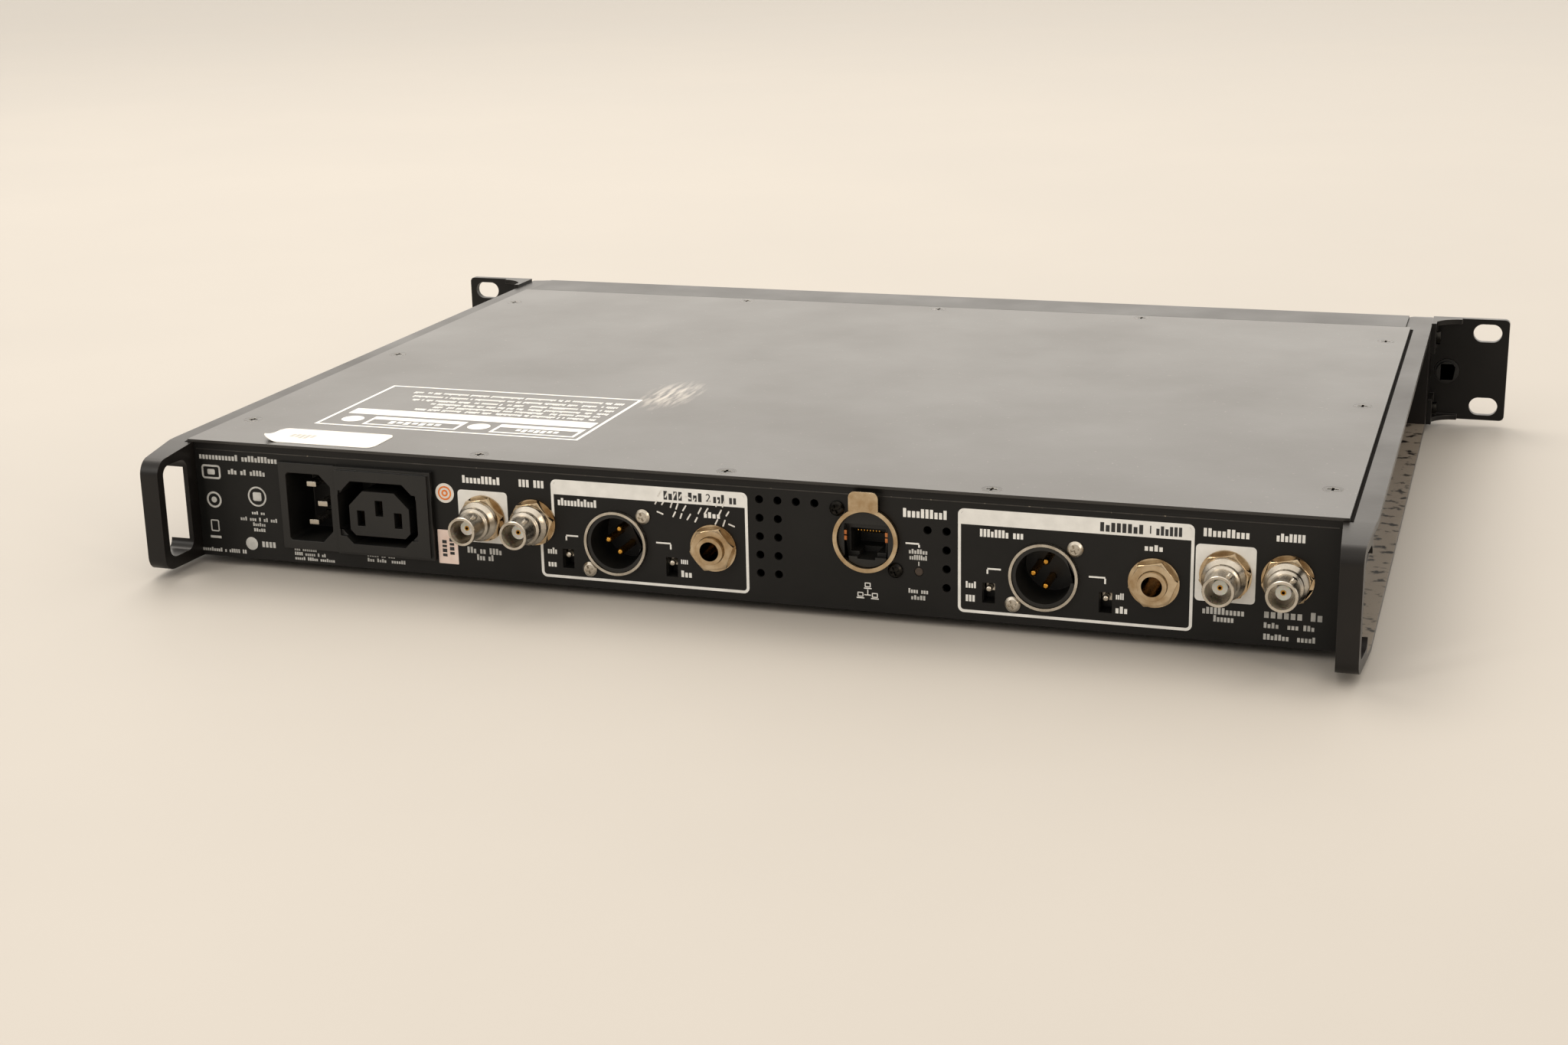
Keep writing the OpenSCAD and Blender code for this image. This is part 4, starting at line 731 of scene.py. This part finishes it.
# %% Notice on the lid
NOTICE_X, NOTICE_Y = (64.5, 168.5), (62.8, 125.0)
notice = [patch("lid", NOTICE_X, NOTICE_Y, 0, 1.2)]
BOX_Y, STRIP_Y = (109.8, 121.5), (99.8, 107.5)
for x in ((67.5, 100.5), (113.8, 151.0)):
    notice.append(patch("lid", x, BOX_Y, 0, 1.2))
    notice.append(words("lid", (x[0] + 8, x[1] - 8), (115.2, 118.8), 7))
    notice.append(patch("lid", (x[0] + 1.2, x[1] - 1.2), (BOX_Y[0] + 1.2, 113.8)))
for x in (107.2, 158.0):
    notice.append(disc("lid", (x, 115), 4.2))
notice.append(patch("lid", (67.0, 164.0), STRIP_Y))
fine_lines = [words("lid", (right, left), (y, y + 2.6), round((left - right) * 1.05))
              for right, left, y in ((69.8, 142.8, 95.0), (70.0, 137.2, 90.6), (68.4, 140.5, 86.2),
                                     (68.3, 150.6, 81.4), (68.9, 153.0, 76.0), (68.7, 155.4, 70.2))]
layer("lid_notice", notice, paints["white_ink"])
layer("lid_fine_lines", fine_lines, paints["white_ink"])
print("lid notice lines", len(fine_lines))

# %% [markdown]
# White squares in screen ink mark the two aerial inputs. Labels were stuck on in use: a round orange
# one, a small pink one beside it, and a white one on the lid whose corner has lifted. Of a torn tamper
# label only flecks of its glue are left, as slanted strokes over the second receiver's band.

# %% Labels on the panel
squares = [patch("panel", (x - 9.3, x + 9.3), (13.3, 31.8), 1.4) for x in (87.4, -165.3)]
layer("aerial_input_labels", squares, paints["white_ink"])
ROUND_AT = (101.6, 30.1)
layer("round_label", [disc("panel", ROUND_AT, 3.5)], paints["label_paper"], thick=PAPER)
rings = [disc("panel", ROUND_AT, 2.5, 0.55), disc("panel", ROUND_AT, 1.2, 0.6)]
layer("round_label_print", rings, paints["orange_ink"], lift=PAPER)
layer("pink_label", [patch("panel", (97.8, 105.3), (4.6, 16.8), 0.3)], paints["pink_paper"],
      thick=PAPER)
code = [patch("panel", (x, x + 1.7), (z, z + tall)) for x, start in ((99.2, 8.0), (102.0, 7.2))
        for z, tall in ((start, 1.0), (start + 1.5, 1.3), (start + 3.3, 0.9), (start + 4.7, 1.2))]
layer("pink_label_print", code, paints["dark_ink"], lift=PAPER)

flecks = []
FLECK_FROM, FLECK_STEP, ROW_STEP = (24.5, 35.6), (2.5, 0.22), (1.3, 3.4)    # across and down, in mm
SLANTS = (62, 70, -20, 58)
for row in range(3):
    for i in range(11):
        x = FLECK_FROM[0] - i * FLECK_STEP[0] - row * ROW_STEP[0] + dice.uniform(-0.3, 0.3)
        z = FLECK_FROM[1] - row * ROW_STEP[1] - i * FLECK_STEP[1] + dice.uniform(-0.4, 0.4)
        if dice.random() < 0.8:
            half = dice.uniform(0.8, 1.4)
            fleck = patch("panel", (x - half, x + half), (z - 0.26, z + 0.26), 0.2)
            spin = Matrix.Rotation(math.radians(dice.choice(SLANTS)), 4, "Y")
            centre = Matrix.Translation(FACES["panel"][0](x, z))
            fleck.data.transform(centre @ spin @ centre.inverted())
            flecks.append(fleck)
layer("glue_flecks", flecks, paints["residue"], lift=FILM * 2, thick=0.03)
print("flecks", len(flecks))

# %% [markdown]
# The lid's label is a sheet of paper with one corner peeled up. A grid is rounded at its corners by
# sliding nothing but its outline, then every point past a slanted fold line is lifted along a curve,
# as stiff paper lifts. A Solidify modifier gives it its thickness.

# %% Peeling label on the lid
def peeling_label(x_range, y_range, fold, lift):
    """A paper label. Past fold, a share of its length, the corner towards +X and +Y curls up by lift."""
    wide, deep = x_range[1] - x_range[0], y_range[1] - y_range[0]
    bpy.ops.mesh.primitive_grid_add(x_subdivisions=42, y_subdivisions=16, size=1)
    piece = bpy.context.object
    corner = 3.0
    for v in piece.data.vertices:
        x, y = v.co.x * wide, v.co.y * deep
        inset = max(0.0, corner - (wide / 2 - abs(x)))
        room = deep / 2 - corner + math.sqrt(max(0.0, corner ** 2 - inset ** 2))
        y = max(-room, min(room, y))
        share = (x / wide + 0.5) * 0.8 + (y / deep + 0.5) * 0.2
        rise = max(0.0, (share - fold) / (1 - fold))
        v.co = Vector((x - 2.2 * rise ** 2, y, lift * rise ** 1.7)) * MM
    piece.location = Vector((sum(x_range) / 2 * MM, sum(y_range) / 2 * MM, LID_Z + 0.00001))
    return settle(piece)


sheet = peeling_label((130.5, 175.5), (133.8, 152.6), 0.86, 3.2)
label = layer("lid_label", [sheet], paints["label_paper"], thick=PAPER)
only(label)
bpy.ops.object.shade_smooth_by_angle(angle=math.radians(40))
layer("lid_label_writing", [words("lid", (158, 168), (141, 146), 5)], paints["label_grey_ink"],
      lift=PAPER + 0.01, thick=0.03)

# %% [markdown]
# A fold runs along the top of the panel, under the lid, and its rounded edge catches the light as a thin
# line; that line is a painted highlight, a thin strip of the lighter edge paint. The lid laps over each
# rail and is 1 mm thick. Its edge throws a line of shade on the rail's top, and a dark strip of painted
# shadow lies there, 1 mm below the top of the lid.

# %% Fold line and lid joint
# Painted highlight: a thin strip of the lighter edge paint stands for the light caught by the fold.
layer("panel_fold_painted_highlight", [patch("panel", (-199.0, 199.0), (39.7, 40.05))], paints["edge"], thick=0.1)
LID_EDGE_X, LID_THICK, JOINT_WIDE = 201.9, 1.0, 1.2
joint = [patch("lid", (side * LID_EDGE_X, side * (LID_EDGE_X + JOINT_WIDE)), (-134.0, 156.0))
         for side in (-1, 1)]
# Painted shadow: dark strips on the rail tops where the lid's edge throws shade.
layer("lid_joint_dirt", joint, paints["joint_dirt"], lift=-LID_THICK)
print("joint strips", len(joint))

# %% [markdown]
# The network socket has spring fingers of bare copper alloy at both sides of its opening and eight
# gold wires inside. Each is a small bar with bevelled edges. The inner end of a wire is moved down in
# edit mode, so the wire slopes like a spring contact.

# %% Small metal bars
def bar(low, high, bend=None):
    """A small bar between two corners in mm. bend moves its low-Y end in edit mode."""
    size, middle = [h - l for l, h in zip(low, high)], [(h + l) / 2 for l, h in zip(low, high)]
    bpy.ops.mesh.primitive_cube_add(size=MM)
    piece = bpy.context.object
    piece.scale = size
    piece.location = Vector(middle) * MM
    settle(piece)
    bpy.ops.object.mode_set(mode="EDIT")
    shape = bmesh.from_edit_mesh(piece.data)
    edge = middle[1] * MM
    for f in shape.faces:
        f.select_set(bool(bend) and f.calc_center_median().y < edge - 0.1 * MM)
    bmesh.update_edit_mesh(piece.data)
    if bend:
        bpy.ops.transform.translate(value=Vector(bend) * MM)
    bpy.ops.mesh.select_all(action="SELECT")
    bpy.ops.mesh.bevel(offset=0.08 * MM, segments=2, affect="EDGES")
    bpy.ops.object.mode_set(mode="OBJECT")
    return piece


def metal_group(name, pieces, paint, body="unit"):
    """Small solids joined into one piece."""
    bpy.ops.object.select_all(action="DESELECT")
    for p in pieces:
        p.select_set(True)
    bpy.context.view_layer.objects.active = pieces[0]
    bpy.ops.object.join()
    piece = settle(bpy.context.object)
    piece.name = name
    piece.data.materials.clear()
    piece.data.materials.append(paint)
    bpy.ops.object.shade_smooth_by_angle(angle=math.radians(30))
    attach(piece, body)
    return piece

# %% Contacts of the network socket
socket_low, socket_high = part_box("network_insert")
NET_X, NET_Z = (socket_low.x + socket_high.x) / 2 / MM, (socket_high.z + socket_low.z) / 2 / MM
FRONT_Y = socket_high.y / MM
FINGER_X, FINGER_HALF, FINGER_TALL = 6.9, 0.45, 1.5
fingers = [bar((x - FINGER_HALF, FRONT_Y - 1.0, NET_Z + z),
               (x + FINGER_HALF, FRONT_Y + 0.15, NET_Z + z + FINGER_TALL))
           for x in (NET_X - FINGER_X, NET_X + FINGER_X) for z in (-0.6, 1.3)]
metal_group("network_shield_fingers", fingers, paints["copper"])
WIRES, WIRE_PITCH, WIRE_HALF, WIRE_BEND = 8, 1.02, 0.2, (0, 0, -3.0)
wire_x = [NET_X + (i - (WIRES - 1) / 2) * WIRE_PITCH for i in range(WIRES)]
wires = [bar((x - WIRE_HALF, 144.5, 29.9), (x + WIRE_HALF, 152.5, 30.3), WIRE_BEND) for x in wire_x]
metal_group("network_contact_wires", wires, paints["gold"])
print("socket", round(NET_X, 2), round(NET_Z, 2), "front", round(FRONT_Y, 2))

# %% [markdown]
# The front carries the same kind of print: small legends by the controls, and a channel number by
# each display. Places are measured across from the middle and up from the underside of the rails.

# %% Front legends
DISPLAY_X, KNOB_X, BUTTON_X = (-113, 57), (-62, 108), (-38, 132)
LIGHT_X, INFRARED_X = (-156, 14), (-181, -11)
PHONES_X, VOLUME_X, ROCKER_X = 148, 168, 187
MIDDLE = 21.8


def front_word(x, half, low, tall, letters):
    """A word on the front, half as wide to each side of x."""
    return words("front", (x - half, x + half), (low, low + tall), letters)


front_print = []
for number, display, knob, button, light, infrared in zip(
        "12", DISPLAY_X, KNOB_X, BUTTON_X, LIGHT_X, INFRARED_X):
    front_print.append(figure("front", number, (display - 26.5, 38.2), 3.0))
    for place in ((display - 14, 8, 37.2, 2.0, 9), (display + 18, 10, 4.6, 1.6, 12), (knob, 5, 35.2, 1.6, 6),
                  (button, 4, 35.4, 1.5, 5), (button, 3.4, 6.6, 1.5, 4), (infrared, 3, 14.2, 1.4, 4)):
        front_print.append(front_word(*place))
    for step in (-12, -6, 0, 6, 12):
        front_print.append(front_word(light + 5.6, 3, MIDDLE + step - 0.7, 1.4, 4))
front_print.append(front_word(VOLUME_X, 5, 7.2, 1.5, 6))
front_print.append(front_word(PHONES_X, 5, 7.2, 1.5, 6))
front_print.append(figure("front", "0", (VOLUME_X - 7.4, 11.2), 2.2))
front_print.append(figure("front", "10", (VOLUME_X + 7.4, 11.2), 2.2))
front_print.append(front_word(ROCKER_X, 4.5, 4.6, 1.5, 5))
print("front words", len(front_print))

# %% [markdown]
# The volume knob turns through 300 degrees in a ring of eleven ticks. All three knobs have a filled
# pointer line, and each line rides on the body of its own knob, so it turns with it.

# %% Dial and pointers
def tick(centre_x, y, angle, inner, outer, wide):
    """A thin mark that points away from a knob's middle, turned by angle from upright."""
    bpy.ops.mesh.primitive_plane_add(size=MM)
    piece = bpy.context.object
    piece.scale = (wide, outer - inner, 1)
    settle(piece)
    reach = (inner + outer) / 2
    piece.location = ((centre_x + reach * math.sin(angle)) * MM, y,
                      RAIL_LOW + (MIDDLE + reach * math.cos(angle)) * MM)
    piece.rotation_euler = (math.pi / 2, angle, 0)
    return settle(piece)


TICKS, SWEEP = 11, 300
for i in range(TICKS):
    angle = math.radians(SWEEP * (i / (TICKS - 1) - 0.5))
    front_print.append(tick(VOLUME_X, FACE_Y, angle, 8.4, 9.8, 0.4))
layer("front_legends", front_print, paints["soft_ink"])
for name, body, node, x, inner, outer in (
        ("pointer_1", "knob_1", "control_knob_1", KNOB_X[0], 5.0, 8.4),
        ("pointer_2", "knob_2", "control_knob_2", KNOB_X[1], 5.0, 8.4),
        ("volume_pointer", "volume", "volume_knob", VOLUME_X, 2.0, 5.4)):
    front_of_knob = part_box(node)[0].y
    layer(name, [tick(x, front_of_knob, 0, inner, outer, 0.8)], paints["white_ink"], body=body)
print("front legends", len(front_print), "patches")

# %% [markdown]
# The set is a pale floor and soft light. Seen low from the rear, the lid mirrors what stands beyond
# it, so the sky is brightest towards -Y. Behind the camera the room is darker near the ground,
# which puts the dark lines into the nickel. One broad lamp hangs above, and two narrow ones put a
# bright line on every round fitting.

# %% Floor, light and the end
bpy.ops.mesh.primitive_plane_add(size=8, location=(0, 0, 0))
floor = bpy.context.object
floor.name = "floor"
floor.data.materials.append(finish("painted_floor", "#b2ada6", "#b7b2ab", 300, 0.6, 3, 0.02))

WALL, CEILING, DARK_SIDE = 1.8, 1.25, 0.5
world = bpy.data.worlds.new("studio")
bpy.context.scene.world = world
world.use_nodes = True
sky = world.node_tree
backdrop = sky.nodes["Background"]
backdrop.inputs[0].default_value = rgb("#fff8ee")
way = add(sky, "SeparateXYZ", {0: add(sky, "TexCoord").outputs["Generated"]}).outputs
room = span(sky, way["Z"], 0.15, 0.75, DARK_SIDE, CEILING)
sky.links.new(span(sky, way["Y"], -0.85, 0.1, WALL, room), backdrop.inputs[1])

for name, place, wide, high, watts, tint in (("softbox", (0.9, -0.9, 1.9), 1.6, 1.0, 20, "#fff6ea"),
                                             ("strip_left", (1.0, 1.3, 1.0), 0.25, 0.8, 4, "#fffaf2"),
                                             ("strip_right", (-1.5, 1.0, 0.7), 0.25, 0.8, 4, "#ffe9cf")):
    bpy.ops.object.light_add(type="AREA", location=place)
    lamp = bpy.context.object
    lamp.name = name
    lamp.data.shape = "RECTANGLE"
    lamp.data.size, lamp.data.size_y = wide, high
    lamp.data.energy = watts
    lamp.data.color = rgb(tint)[:3]
    lamp.rotation_euler = (Vector((0, 0, 0.02)) - lamp.location).to_track_quat("-Z", "Y").to_euler()
bpy.context.scene.view_settings.view_transform = "Standard"
